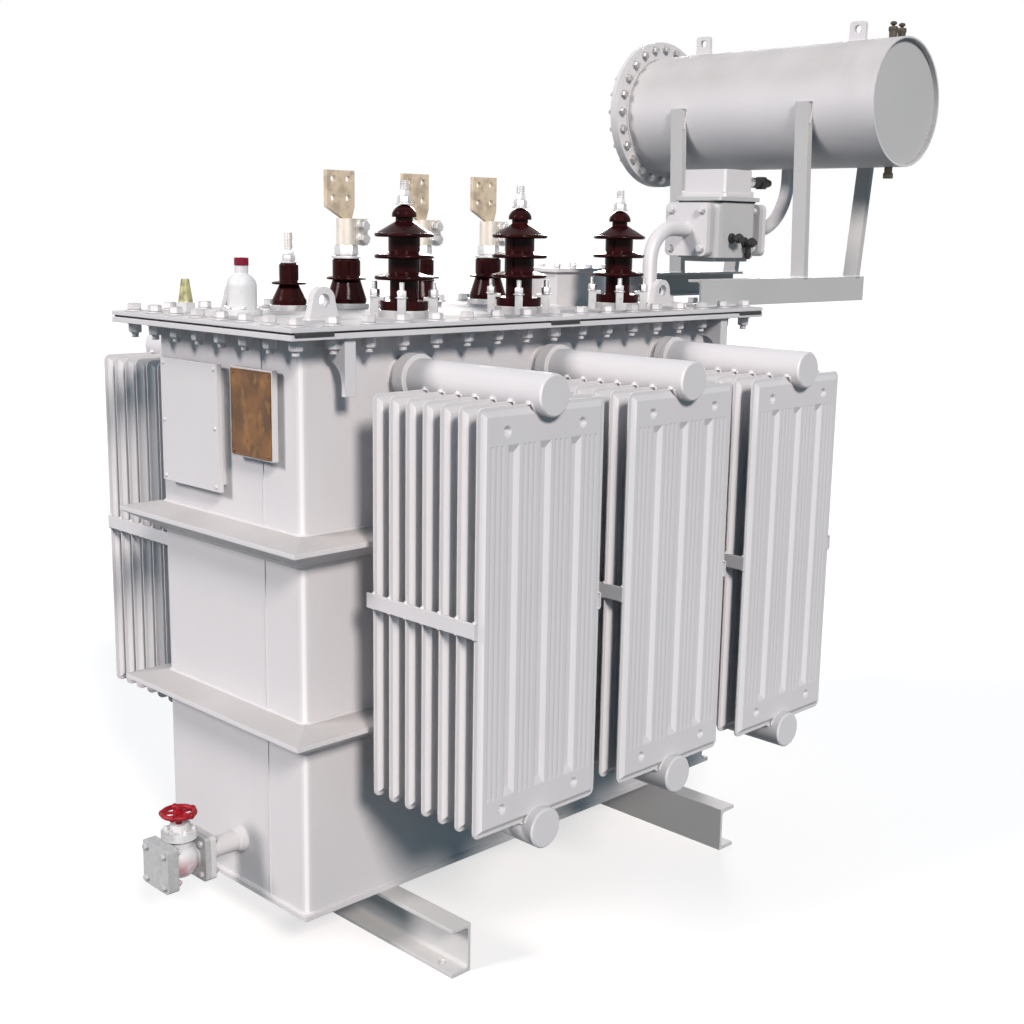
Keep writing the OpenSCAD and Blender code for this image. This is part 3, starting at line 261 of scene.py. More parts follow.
class Shader(Nodes):
    """A material in the making: its nodes and its one surface."""

    def __init__(self, name):
        self.material = bpy.data.materials.new(name)
        self.material.use_nodes = True
        super().__init__(self.material.node_tree)
        self.surface = self.tree.nodes.new("ShaderNodeBsdfPrincipled")
        self.out = self.tree.nodes.new("ShaderNodeOutputMaterial")
        self.tree.links.new(self.surface.outputs[0], self.out.inputs["Surface"])
        self.at = self.node("ShaderNodeTexCoord", output="Object")

    def mix(self, share, low, high):
        """Blends two colours."""
        ends = [c if isinstance(c, Wire) else (*c, 1) for c in (low, high)]
        return self.node("ShaderNodeMix", {"data_type": "RGBA"}, {0: share, 6: ends[0], 7: ends[1]}, 2)

    def noise(self, scale, detail=2.0, stretch=(1, 1, 1)):
        """Cloudy pattern, finer with scale, drawn out along the axes whose stretch is small."""
        where = self.node("ShaderNodeVectorMath", {"operation": "MULTIPLY"}, {0: self.at, 1: stretch})
        return self.node("ShaderNodeTexNoise", None, {"Vector": where, "Scale": scale, "Detail": detail})

    def normal(self):
        """Three parts of the surface's direction."""
        return self.split(self.node("ShaderNodeNewGeometry", output="Normal"))

    def soft_edges(self, radius):
        """Direction of the surface with its edges rounded, and a mask of those edges."""
        rounded = self.node("ShaderNodeBevel", {"samples": 4}, {"Radius": radius})
        true = self.node("ShaderNodeNewGeometry", output="Normal")
        shared = self.node("ShaderNodeVectorMath", {"operation": "DOT_PRODUCT"}, {0: rounded, 1: true},
                           "Value")
        return rounded, (1 - shared).between(0.01, 0.16)

    def done(self, base, roughness, bump=None, depth=0.0005, normal=None, **constants):
        """Feeds the surface and gives the finished material."""
        self.feed(self.surface.inputs["Base Color"], base)
        self.feed(self.surface.inputs["Roughness"], roughness)
        for key, value in constants.items():
            self.feed(self.surface.inputs[key.replace("_", " ")], value)
        if bump is not None:
            sockets = {"Height": bump, "Strength": 1.0, "Distance": depth}
            if normal is not None:
                sockets["Normal"] = normal
            self.feed(self.surface.inputs["Normal"], self.node("ShaderNodeBump", None, sockets))
        return self.material


def shade(tint, factor, lift=0.0):
    """A colour made darker or paler."""
    return tuple(min(1, c * factor + lift) for c in tint)


def enamel(name, tint, grime, dust=0.14):
    """Sprayed enamel: orange peel, edges paler from chalky wear and partly a painted highlight, a painted
    highlight down upright corners, ledges darker from dust and partly painted shade, and faint rain marks.
    """
    s = Shader(name)
    normal, edge = s.soft_edges(0.0025)
    across, along, up = s.normal()
    corner_highlight = across * along
    cloud = s.noise(2.4, 4)
    rain = s.noise(11, 3, (1, 1, 0.06))
    # Darker towards upward faces, and a little on upright and slightly downward ones: settled dust, partly
    # painted shade on the upper slopes.
    dust_and_shade = up.between(-0.05, 0.55) * (0.80 + s.noise(7, 6).between(0.34, 0.66) * 0.20) * dust
    marks = rain.between(0.56, 0.80) * cloud.between(0.42, 0.68) * 0.12
    base = s.mix(cloud.between(0.3, 0.7), shade(tint, 0.95), tint)
    base = s.mix(dust_and_shade + marks, base, grime)
    # Edges paler: chalky wear of the paint, partly a painted highlight.
    base = s.mix(edge * 0.55, base, shade(tint, 1.14, 0.02))
    # Painted highlight: faces turned diagonally in plan, as on upright rounded corners, are made paler.
    base = s.mix((corner_highlight * corner_highlight).between(0.13, 0.25) * 0.75, base, shade(tint, 1.26, 0.02))
    rough = 0.40 + cloud * 0.12 + dust_and_shade * 0.35
    peel = s.noise(240, 2) * 0.7 + s.noise(38, 2) * 0.6
    return s.done(base, rough, peel, 0.0004, normal, Specular_IOR_Level=0.10)


def gloss(name, tint):
    """Deep gloss paint, a little worn on its edges."""
    s = Shader(name)
    normal, edge = s.soft_edges(0.0015)
    cloud = s.noise(60, 4)
    base = s.mix(cloud.between(0.35, 0.7), shade(tint, 0.72), tint)
    base = s.mix(edge * 0.35, base, shade(tint, 1.5))
    return s.done(base, 0.34 + cloud * 0.16, s.noise(300, 2), 0.0003, normal, Specular_IOR_Level=0.25)


def primed(name, tint, primer, ends, height):
    """Cast valve in grey paint, paler between its flanges, with red primer low on its body."""
    s = Shader(name)
    normal, edge = s.soft_edges(0.0015)
    along, _, up = s.split(s.at)
    cast = s.noise(90, 5)
    body = along.between(ends[0], ends[0] + 0.010) * (1 - along.between(ends[1] - 0.010, ends[1]))
    low = 1 - up.between(height - 0.012, height + 0.022)
    bare = body * low * s.noise(34, 5).between(0.28, 0.54) * 0.72
    base = s.mix(cast.between(0.35, 0.7), shade(tint, 0.86), tint)
    base = s.mix(body * 0.8, base, shade(tint, 1.58))
    base = s.mix(bare, base, primer)
    base = s.mix(edge * 0.4, base, shade(tint, 1.25))
    return s.done(base, 0.42 + cast * 0.18, cast, 0.0008, normal)


def rubber(name, tint):
    """Matt black rubber with a grainy skin."""
    s = Shader(name)
    chalk = s.noise(60, 4)
    base = s.mix(chalk.between(0.45, 0.8) * 0.35, tint, shade(tint, 1, 0.03))
    return s.done(base, 0.62 + chalk * 0.2, s.noise(400, 2), 0.0004)


def glaze(name, tint):
    """Wet-looking brown glaze, thin and reddish on edges, a little dusty on the sheds."""
    s = Shader(name)
    normal, edge = s.soft_edges(0.003)
    up = s.normal()[2]
    pool = s.noise(34, 3)
    base = s.mix(pool.between(0.35, 0.7), tint, shade(tint, 1.8))
    base = s.mix(edge * 0.5, base, (tint[0] * 3.4, tint[1] * 2.4, tint[2] * 2.2))
    dust = up.between(0.5, 0.98) * s.noise(70, 4).between(0.4, 0.75) * 0.02
    base = s.mix(dust, base, (0.32, 0.27, 0.24))
    rough = 0.12 + pool * 0.08 + dust * 3.0
    return s.done(base, rough, s.noise(120, 2), 0.0003, normal, Specular_IOR_Level=0.06)


def plated(name, tint, tarnish, rough=0.30, soft=0.0012, metal=0.9):
    """Plated or bare metal: fine scratches, dull patches and bright edges."""
    s = Shader(name)
    normal, edge = s.soft_edges(soft)
    patch = s.noise(55, 4)
    grain = s.noise(900, 1, (1, 1, 0.15))
    base = s.mix(patch.between(0.48, 0.75) * 0.55, tint, tarnish)
    base = s.mix(edge * 0.6, base, shade(tint, 1.25))
    return s.done(base, rough + patch * 0.18 + grain * 0.08, grain, 0.0002, normal, Metallic=metal)


def two_tone(name, low, high, change, metal=0.7, wear=0.68):
    """Metal of one colour below a height and another, more weathered one above it."""
    s = Shader(name)
    normal, edge = s.soft_edges(0.0012)
    height = s.split(s.at)[2]
    patch = s.noise(45, 5)
    rolled = s.noise(420, 2, (0.1, 1, 1))
    worn = s.mix(patch.between(0.42, 0.66), high, shade(high, wear))
    bright = s.mix(patch.between(0.5, 0.75) * 0.5, low, shade(low, 0.62))
    base = s.mix(height.between(change - 0.003, change + 0.003), bright, worn)
    base = s.mix(edge * 0.4, base, shade(low, 1.15))
    return s.done(base, 0.34 + patch * 0.22, rolled * 0.5 + patch, 0.0004, normal, Metallic=metal)


def etched(name, tint):
    """Bare etched plate: fine brushing, brown stains and paler, rubbed patches, bright round its edge."""
    s = Shader(name)
    normal, edge = s.soft_edges(0.0012)
    brushed = s.noise(700, 1, (1, 0.12, 1))
    stain = s.noise(20, 5)
    rubbed = s.noise(42, 6, (1, 1, 0.7)).between(0.50, 0.66)
    base = s.mix(stain.between(0.34, 0.66), shade(tint, 0.62), shade(tint, 1.35))
    base = s.mix(rubbed * 0.42, base, (tint[0] * 2.4, tint[1] * 2.7, tint[2] * 2.3))
    base = s.mix(edge * 0.6, base, shade(tint, 2.6))
    return s.done(base, 0.42 + stain * 0.2 + brushed * 0.06, brushed, 0.0002, normal, Metallic=0.2)


def finish(name):
    """The material of that name, made when it is first asked for."""
    made = bpy.data.materials.get(name)
    if made:
        return made
    tint = bpy.context.scene.transformer_finish
    size = bpy.context.scene.transformer_sizes
    flags = spot("lv_flag_a").z - size.flag_low
    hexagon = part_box("thermometer_pocket")[0].z + size.pocket_foot
    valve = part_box("drain_valve")
    body = valve[0].x + 2 * size.drain_flange
    ends = (body, body + size.drain_body - 2 * size.drain_flange)
    bore = valve[0].z + (valve[1].y - valve[0].y) / 2
    makers = {
        "enamel": (enamel, tint.paint, tint.grime),
        # Heavier dust on upward faces, partly painted shade that dims the tops.
        "dusty_enamel": (enamel, tint.paint, tint.grime, 0.68),
        # Painted shade: darker enamels for parts in shade or far from the light, a little paler on the
        # base channels.
        "dull_enamel": (enamel, tint.dull, tint.grime),
        "base_enamel": (enamel, shade(tint.dull, 1.18), tint.grime),
        "red_gloss": (gloss, tint.red),
        "cap_gloss": (gloss, tint.cap),
        "rubber": (rubber, tint.gasket),
        "brown_glaze": (glaze, tint.glaze),
        "zinc": (plated, tint.zinc, (0.27, 0.265, 0.26)),
        "worn_zinc": (plated, tint.worn, shade(tint.worn, 0.5), 0.45),
        "cast_alloy": (plated, tint.alloy, shade(tint.alloy, 0.8), 0.46, 0.002, 0.0),
        "tinned_copper": (two_tone, tint.tin, tint.palm, flags),
        "bronze": (plated, tint.brass, shade(tint.brass, 0.4), 0.36),
        "pocket_brass": (two_tone, tint.alloy, tint.pocket, hexagon, 0.2, 0.4),
        "valve_paint": (primed, tint.valve, tint.primer, ends, bore),
        "etched_plate": (etched, tint.plate),
        "black_fitting": (rubber, tint.black),
    }
    maker, *values = makers[name]
    return maker(name, *values)


SLOT_FINISH = {"paint": "enamel", "gasket": "rubber", "porcelain": "brown_glaze", "steel": "zinc",
               "copper": "tinned_copper", "brass": "bronze", "red_paint": "red_gloss"}
NODE_FINISH = {"rating_plate": "etched_plate", "relief_valve": "cast_alloy", "relief_cap": "cap_gloss",
               "thermometer_pocket": "pocket_brass", "drain_valve": "valve_paint",
               # Painted shade: the base channels, conservator's end, relay body and supports take darker
               # enamel.
               "base_channels": "base_enamel", "cover_plate": "dusty_enamel",
               # Dusty enamel on the cover, bands and conservator shell: dust, partly painted shade on
               # their tops.
               "stiffener_bands": "dusty_enamel", "conservator_shell": "dusty_enamel",
               "conservator_end": "dull_enamel", "relay_body": "dull_enamel",
               "support_posts": "dull_enamel", "support_beams": "dull_enamel"}


def facing(at, axis=UP, turn=0.0):
    """Matrix that puts a shape's foot at a point, with its own Z along an axis."""
    aim = Vector(axis).to_track_quat("Z", "Y").to_matrix().to_4x4()
    return Matrix.Translation(Vector(at)) @ aim @ Matrix.Rotation(turn, 4, "Z")


def circle(at, axis, radius, points=24, start=0.0, sweep=math.tau):
    """Points along a circle, or a part of one, about an axis."""
    place = facing(at, axis)
    steps = points if sweep == math.tau else points - 1
    turns = (start + sweep * i / steps for i in range(points))
    return [place @ Vector((radius * math.cos(a), radius * math.sin(a), 0)) for a in turns]


def rectangle(low, high, z):
    """Corners of a level rectangle."""
    return [(low[0], low[1], z), (high[0], low[1], z), (high[0], high[1], z), (low[0], high[1], z)]


def flange_corners(x, axis, reach):
    """Corners of a square that faces along X, with the side and the height of each."""
    return [((x, axis.y + y * reach, axis.z + z * reach), y, z) for y in SIDES for z in SIDES]


def wall_path(z, corner):
    """Points round the tank's wall at one height, with its bent corners."""
    points = []
    for quarter, (x, y) in enumerate(((1, 1), (-1, 1), (-1, -1), (1, -1))):
        for a in spread(quarter * math.pi / 2, (quarter + 1) * math.pi / 2, 4):
            points.append((x * (WALLS[1].x - corner) + corner * math.cos(a),
                           y * (WALLS[1].y - corner) + corner * math.sin(a), z))
    return points


def add(name, data):
    """A new object in the scene."""
    made = bpy.data.objects.new(name, data)
    bpy.context.scene.collection.objects.link(made)
    return made


class Stock:
    """Gathers turned, cut and swept shapes into one joined mesh."""

    def __init__(self):
        self.mesh = bmesh.new()

    def ring(self, points, place):
        """Points of one loop, put in place."""
        return [self.mesh.verts.new(place @ Vector(p)) for p in points]

    def skin(self, low, high):
        """Faces between two loops of the same count."""
        for i, corner in enumerate(low):
            j = (i + 1) % len(low)
            self.mesh.faces.new((corner, low[j], high[j], high[i]))

    def loft(self, loops, place=Matrix(), closed=False):
        """Skins a row of loops and caps its ends."""
        rings = [self.ring(loop, place) for loop in loops]
        for low, high in zip(rings, rings[1:]):
            self.skin(low, high)
        if closed:
            self.skin(rings[-1], rings[0])
        else:
            self.mesh.faces.new(rings[0][::-1])
            self.mesh.faces.new(rings[-1])

    def turn(self, profile, place, sides=20):
        """Turns radius and height pairs round the shape's own Z axis; six sides make a hexagon."""
        steps = [(math.cos(a), math.sin(a)) for a in (i * math.tau / sides for i in range(sides))]
        self.loft([[(r * c, r * s, z) for c, s in steps] for r, z in profile], place)

    def block(self, low, high, edge=0.002, corner=None):
        """Box with cut upright corners and a chamfered top."""
        (x0, y0, z0), (x1, y1, z1) = low, high

        def outline(d, z):
            e = (corner or edge) + d
            return [(x0 + d, y0 + e, z), (x0 + e, y0 + d, z), (x1 - e, y0 + d, z), (x1 - d, y0 + e, z),
                    (x1 - d, y1 - e, z), (x1 - e, y1 - d, z), (x0 + e, y1 - d, z), (x0 + d, y1 - e, z)]

        self.loft([outline(0, z0), outline(0, z1 - edge), outline(edge * 0.7, z1)])

    def bead(self, path, radius, closed=False, ripple=0.007):
        """Weld bead along a path: a rounded run with small ripples across it."""
        points = [Vector(p) for p in path] + ([Vector(path[0])] if closed else [])
        run = []
        for start, end in zip(points, points[1:]):
            steps = max(1, round((end - start).length / (ripple / 2)))
            run += [(start.lerp(end, i / steps), (end - start).normalized()) for i in range(steps)]
        if not closed:
            run.append((points[-1], (points[-1] - points[-2]).normalized()))
        rings = []
        side = run[0][1].orthogonal()
        for i, (point, way) in enumerate(run):
            side = (side - way * side.dot(way)).normalized()
            rise = way.cross(side)
            size = radius * (1.0 if i % 2 else 0.86)
            rings.append([point + side * size * math.cos(a) + rise * size * math.sin(a)
                          for a in (k * math.tau / 6 for k in range(6))])
        self.loft(rings, closed=closed)

    def dab(self, place, radius, height):
        """Round blob of weld, or a low button head."""
        self.turn([(radius, -height * 0.3), (radius, height * 0.25), (radius * 0.86, height * 0.62),
                   (radius * 0.5, height * 0.93), (radius * 0.12, height)], place, 10)

    def thread(self, place, radius, rise, pitch=0.003):
        """Threaded rod with a chamfered end."""
        rows = max(2, round(rise / pitch))
        profile = []
        for i in range(rows):
            profile += [(radius * 0.88, rise * i / rows), (radius, rise * (i + 0.5) / rows)]
        profile += [(radius * 0.86, rise - pitch * 0.2), (radius * 0.7, rise)]
        self.turn(profile, place, 16)

    def bolt(self, place, flats, stud=0.0, washer=True):
        """Hexagon head or nut on a washer; a stud stands out of it where one is given."""
        r = flats / math.sqrt(3)
        base = 0.0
        if washer:
            base = flats * 0.12
            self.turn([(r * 1.22, 0), (r * 1.22, base * 0.7), (r * 1.16, base)], place)
        top = base + flats * (0.55 if stud == 0 else 0.75)
        self.turn([(r * 0.90, base), (r, base + flats * 0.05), (r, top - flats * 0.10), (r * 0.87, top)],
                  place, 6)
        if stud:
            end = place @ Matrix.Translation((0, 0, top - flats * 0.02))
            self.thread(end, flats * 0.32, stud, flats * 0.14)

    def made(self, name, material):
        """Makes the mesh an object with a material."""
        data = bpy.data.meshes.new(name)
        self.mesh.to_mesh(data)
        self.mesh.free()
        data.materials.append(material)
        return add(name, data)

    def piece(self, name, material="enamel", slot="paint", body="transformer"):
        """Makes the mesh a piece that rides on a body, in enamel unless told otherwise."""
        bmesh.ops.recalc_face_normals(self.mesh, faces=self.mesh.faces)
        made = self.made(name, finish(material))
        made.data.shade_smooth()
        made.data.set_sharp_from_angle(angle=SHARP)
        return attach(made, body)


class TRANSFORMER_OT_finish_frame(bpy.types.Operator):
    """Give every part of the frame its finish"""

    bl_idname = "transformer.finish_frame"
    bl_label = "Finish the frame"

    def execute(self, context):
        slots = {part["node"]: part["material_slot"] for part in frame["record"]["subparts"]}
        for name, node in frame["nodes"].items():
            look = NODE_FINISH.get(name, SLOT_FINISH[slots[name]])
            node.data.materials.clear()
            node.data.materials.append(finish(look))
        return {"FINISHED"}


class TRANSFORMER_OT_cover_bolts(bpy.types.Operator):
    """Bolt the cover down: heads on top, nuts under the rim, and the gasket's rubber tabs"""

    bl_idname = "transformer.cover_bolts"
    bl_label = "Cover bolts"

    def execute(self, context):
        size = context.scene.transformer_sizes
        x, y, _ = inset(COVER, size.bolt_inset)[1]
        spots = [(u, side * y) for u in spread(-x, x, size.long_gaps) for side in SIDES]
        spots += [(side * x, v) for v in spread(-y, y, size.end_gaps)[1:-1] for side in SIDES]
        heads, nuts, tabs = Stock(), Stock(), Stock()
        stud, lip_in, lip_out, lip_up = 0.010, 0.006, 0.0025, 0.006
        for i, (u, v) in enumerate(spots):
            heads.bolt(facing((u, v, COVER[1].z), UP, i * 0.7), size.bolt_flats)
            nuts.bolt(facing((u, v, RIM[0].z), DOWN, i * 0.9), size.bolt_flats, stud)
        for u in (-size.tab_out, 0, size.tab_out):
            for side in SIDES:
                lip = sorted((side * (COVER[1].y - lip_in), side * (COVER[1].y + lip_out)))
                tabs.block((u - size.tab / 2, lip[0], RIM[0].z + lip_up),
                           (u + size.tab / 2, lip[1], COVER[0].z), 0.001)
        heads.piece("cover_bolt_heads", "dusty_enamel", "paint")
        nuts.piece("cover_bolt_nuts")
        tabs.piece("gasket_tabs", "rubber", "gasket")
        return {"FINISHED"}


class TRANSFORMER_OT_tank_welds(bpy.types.Operator):
    """Weld the bands, floor, rim, hooks, lugs and base channels to the tank"""

    bl_idname = "transformer.tank_welds"
    bl_label = "Tank welds"

    def execute(self, context):
        size = context.scene.transformer_sizes
        bands, seams, lifting, base = Stock(), Stock(), Stock(), Stock()
        low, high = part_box("stiffener_bands")
        for z in (low.z, low.z + size.band, high.z - size.band, high.z):
            bands.bead(wall_path(z, size.corner), size.bead, True)
        for z in (WALLS[0].z, WALLS[1].z):
            seams.bead(wall_path(z, size.corner), size.bead, True)
        for side in SIDES:
            x, y = side * WALLS[1].x, side * size.seam_y
            seams.bead([(x, y, WALLS[0].z), (x, y, WALLS[1].z)], size.seam, ripple=0.009)
        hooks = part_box("tank_hooks")
        for x in (hooks[0].x, hooks[0].x + size.hook, hooks[1].x - size.hook, hooks[1].x):
            for side in SIDES:
                root = side * WALLS[1].y
                under_rim = (x, root, RIM[0].z)
                lifting.bead([(x, root, RIM[0].z - size.hook_seat), under_rim], size.bead)
                lifting.bead([under_rim, (x, side * hooks[1].y, RIM[0].z)], size.bead)
        half = Vector((size.lug_w, size.lug_t, 0)) / 2
        for name in ("near_a", "near_b", "far_a", "far_b"):
            foot = spot("cover_lug_" + name)
            lifting.bead(rectangle(foot - half, foot + half, COVER[1].z), size.bead, True)
        low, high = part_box("base_channels")
        for x in (low.x, high.x):
            base.bead([(x, -WALLS[1].y, high.z), (x, WALLS[1].y, high.z)], size.bead)
        bands.piece("band_welds")
        seams.piece("tank_seams")
        lifting.piece("hook_and_lug_welds")
        base.piece("base_welds")
        return {"FINISHED"}


class TRANSFORMER_OT_radiator_welds(bpy.types.Operator):
    """Weld every radiator panel to its headers and straps, and the headers to their collars"""

    bl_idname = "transformer.radiator_welds"
    bl_label = "Radiator welds"

    def execute(self, context):
        size = context.scene.transformer_sizes
        panel_bead, wall_bead, joint_bead, joint_out, strap_half = 0.003, 0.004, 0.0035, 0.014, 0.014
        tack, strap_tack, strap_lean = (0.0065, 0.005), (0.005, 0.0035), 0.6
        edge = math.sqrt(size.header ** 2 - size.header_notch ** 2)
        open_angle = math.asin(size.header_notch / size.header)
        for bank in BANKS:
            welds = Stock()
            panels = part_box("panels_" + bank)
            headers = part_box("headers_" + bank)
            out = -1 if bank.startswith("near") else 1
            joint = headers[out < 0].y
            x = middle(panels).x
            rows = spread(panels[0].y + size.panel_t / 2, panels[1].y - size.panel_t / 2, size.panels - 1)
            for z, sense in ((headers[1].z - size.collar, -1), (headers[0].z + size.collar, 1)):
                for y in rows:
                    arc = circle((x, y + out * size.panel_t / 2, z), (0, -1, 0), size.header, 15,
                                 open_angle, math.pi - 2 * open_angle)
                    welds.bead([(p.x, p.y, z + sense * abs(p.z - z)) for p in arc], panel_bead)
                    for side in SIDES:
                        at = (x + side * edge, y, z + sense * size.header_notch)
                        welds.dab(facing(at, (0, 0, -sense)), *tack)
                for y, radius in ((out * WALLS[1].y, wall_bead), (joint + out * joint_out, joint_bead)):
                    welds.bead(circle((x, y, z), (0, 1, 0), size.header), radius, True)
            for y in rows:
                for side in SIDES:
                    for rise in SIDES:
                        at = (panels[side > 0].x, y, middle(panels).z + rise * strap_half)
                        welds.dab(facing(at, (side * strap_lean, 0, rise)), *strap_tack)
            welds.piece("welds_" + bank)
        return {"FINISHED"}


class TRANSFORMER_OT_bushing_fasteners(bpy.types.Operator):
    """Fit the studs, nuts and clamp bolts of the bushings"""

    bl_idname = "transformer.bushing_fasteners"
    bl_label = "Bushing fasteners"

    def execute(self, context):
        size = context.scene.transformer_sizes
        clamps, nuts, bolts = Stock(), Stock(), Stock()
        lock_rise, lock_share, thread_share, clamp_stud = 0.67, 0.83, 1.08, 0.016
        stem_flats, ear_flats, ear_stud, ear_drops = 0.044, 0.021, 0.005, (0.76, 0.26)
        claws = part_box("bushing_rings")[1].z
        for i, name in enumerate(("hv_stud_a", "hv_stud_b", "hv_stud_c", "neutral_stud")):
            dims = MOUNTS[name]["dims"]
            radius, tall = dims["r_mm"] / 1000, dims["length_mm"] / 1000
            foot = spot(name) - Vector((0, 0, tall / 2))
            nuts.bolt(facing(foot, UP, 0.3 + i), size.stud_flats)
            rise = Vector(UP) * size.stud_flats
            lock = facing(foot + rise * lock_rise, UP, 0.9 + i)
            nuts.bolt(lock, size.stud_flats * lock_share, washer=False)
            nuts.thread(facing(foot + rise), radius * thread_share, tall - size.stud_flats)
            if name == "neutral_stud":
                continue
            ring = circle((foot.x, foot.y, claws), UP, size.clamp_ring, 4, -0.75 * math.pi)
            for k, at in enumerate(ring):
                clamps.bolt(facing(at, UP, (k + 0.5) * math.pi / 2), size.clamp_flats, clamp_stud)
        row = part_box("lv_bushings")
        y = middle(row).y
        outer = row[1].x - (row[1].y - row[0].y) / 2
        top = spot("lv_flag_a").z - size.flag_low
        for x in (-outer, 0, outer):
            bolts.bolt(facing((x, y, row[1].z), UP, 0.4), stem_flats)
            for drop in ear_drops:
                z = top - size.clamp_h * drop
                for side in SIDES:
                    at = (x + size.ear, y + side * size.ear_t / 2, z)
                    bolts.bolt(facing(at, (0, side, 0), z * 40), ear_flats, ear_stud if side > 0 else 0.0)
        clamps.piece("bushing_clamp_studs", "zinc", "steel")
        nuts.piece("terminal_stud_nuts", "zinc", "steel")
        bolts.piece("stem_clamp_bolts", "zinc", "steel")
        return {"FINISHED"}


class TRANSFORMER_OT_cover_fittings(bpy.types.Operator):
    """Fasten the relief valve and the tap switch box, and weld the oil pipe to the cover"""

    bl_idname = "transformer.cover_fittings"
    bl_label = "Cover fittings"

    def execute(self, context):
        size = context.scene.transformer_sizes
        screws, welds = Stock(), Stock()
        foot_h, foot_in, foot_flats = 0.012, 0.006, 0.010
        lid_in, lid_flats, weld_in = 0.012, 0.013, 0.008
        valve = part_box("relief_valve")
        radius = (valve[1].x - valve[0].x) / 2 - foot_in
        for at in circle((middle(valve).x, middle(valve).y, COVER[1].z + foot_h), UP, radius, 6):
            screws.bolt(facing(at, UP, at.x * 30), foot_flats, washer=False)
        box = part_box("tap_switch_box")
        low, high = inset(box, lid_in)
        for x in spread(low.x, high.x, 3):
            for y in (low.y, high.y):
                screws.bolt(facing((x, y, box[1].z), UP, x * 20), lid_flats)
        welds.bead(rectangle(*inset(box, weld_in), COVER[1].z), size.bead, True)
        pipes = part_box("relay_pipes")
        at = (pipes[0].x + size.pipe, middle(pipes).y, COVER[1].z)
        welds.bead(circle(at, UP, size.pipe), size.bead, True)
        screws.piece("cover_fitting_screws", "zinc", "steel")
        welds.piece("cover_fitting_welds")
        return {"FINISHED"}


class TRANSFORMER_OT_relay_fittings(bpy.types.Operator):
    """Bolt the gas relay between its pipes and fit its screws, a black gasket that is partly painted shade
    under its top plate, its gland and cocks
    """

    bl_idname = "transformer.relay_fittings"
    bl_label = "Relay fittings"

    def execute(self, context):
        size = context.scene.transformer_sizes
        bolts, rubbers, metal, cocks = Stock(), Stock(), Stock(), Stock()
        flange_flats, foot_flats, foot_in = 0.017, 0.011, 0.008
        wall_x, wall_y, seal_shade, seal_shade_corner = 0.024, 0.007, 0.004, 0.0155
        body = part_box("relay_body")
        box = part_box("relay_box")
        axis = middle(body)
        for joint in (body[0].x, body[1].x):
            for side in SIDES:
                for at, y, z in flange_corners(joint + side * size.flange, axis, size.flange_bolt):
                    bolts.bolt(facing(at, (side, 0, 0), y + z), flange_flats, washer=False)
        low, high = inset(box, foot_in)
        for x in (low.x, high.x):
            for y in (low.y, high.y):
                bolts.bolt(facing((x, y, box[0].z + size.box_foot), UP, x * 9), foot_flats, washer=False)
        # Black rubber ring under the relay's top plate: partly a real gasket, partly painted shade of the
        # undercut below the plate.
        under = box[0].z - size.plate_t
        rubbers.block((body[0].x + wall_x, body[0].y + wall_y, under - seal_shade),
                      (body[1].x - wall_x, body[1].y - wall_y, under), 0.0005, seal_shade_corner)
        gland = facing((box[1].x - 0.007, box[0].y + 0.038, middle(box).z + 0.006), (1, 0, 0))
        metal.turn([(0.019, 0), (0.019, 0.008), (0.0175, 0.010)], gland, 6)
        metal.turn([(0.012, 0.009), (0.012, 0.046)], gland)
        rubbers.turn([(0.013, 0.042), (0.013, 0.062), (0.011, 0.064), (0.011, 0.074)], gland)
        rubbers.turn([(0.0175, 0.072), (0.018, 0.074), (0.018, 0.092), (0.014, 0.098)], gland, 6)
        rubbers.turn([(0.012, 0.096), (0.0115, 0.106), (0.009, 0.118), (0.006, 0.122)], gland)
        face = body[0].y + 0.008
        lever, lever_out = Vector((0.019, 0.0045, 0.005)), Vector((0, -0.0255, 0))
        for x, z, spout in ((-0.025, -0.022, 0.0), (0.031, -0.032, 0.042)):
            root = Vector((axis.x + x, face, axis.z + z))
            cocks.turn([(0.013, 0), (0.013, 0.005), (0.008, 0.007), (0.008, 0.018), (0.012, 0.020),
                        (0.013, 0.026), (0.010, 0.032), (0.004, 0.034)], facing(root, (0, -1, 0)))
            cocks.block(root + lever_out - lever, root + lever_out + lever)
            if spout:
                down = facing(root + Vector((0, -0.014, 0)), DOWN)
                cocks.turn([(0.007, 0), (0.007, spout * 0.6), (0.009, spout * 0.62), (0.009, spout * 0.8),
                            (0.005, spout)], down)
        bolts.piece("relay_bolts")
        rubbers.piece("relay_rubbers", "black_fitting", "gasket")
        metal.piece("relay_gland", "zinc", "steel")
        cocks.piece("relay_cocks", "black_fitting", "gasket")
        return {"FINISHED"}


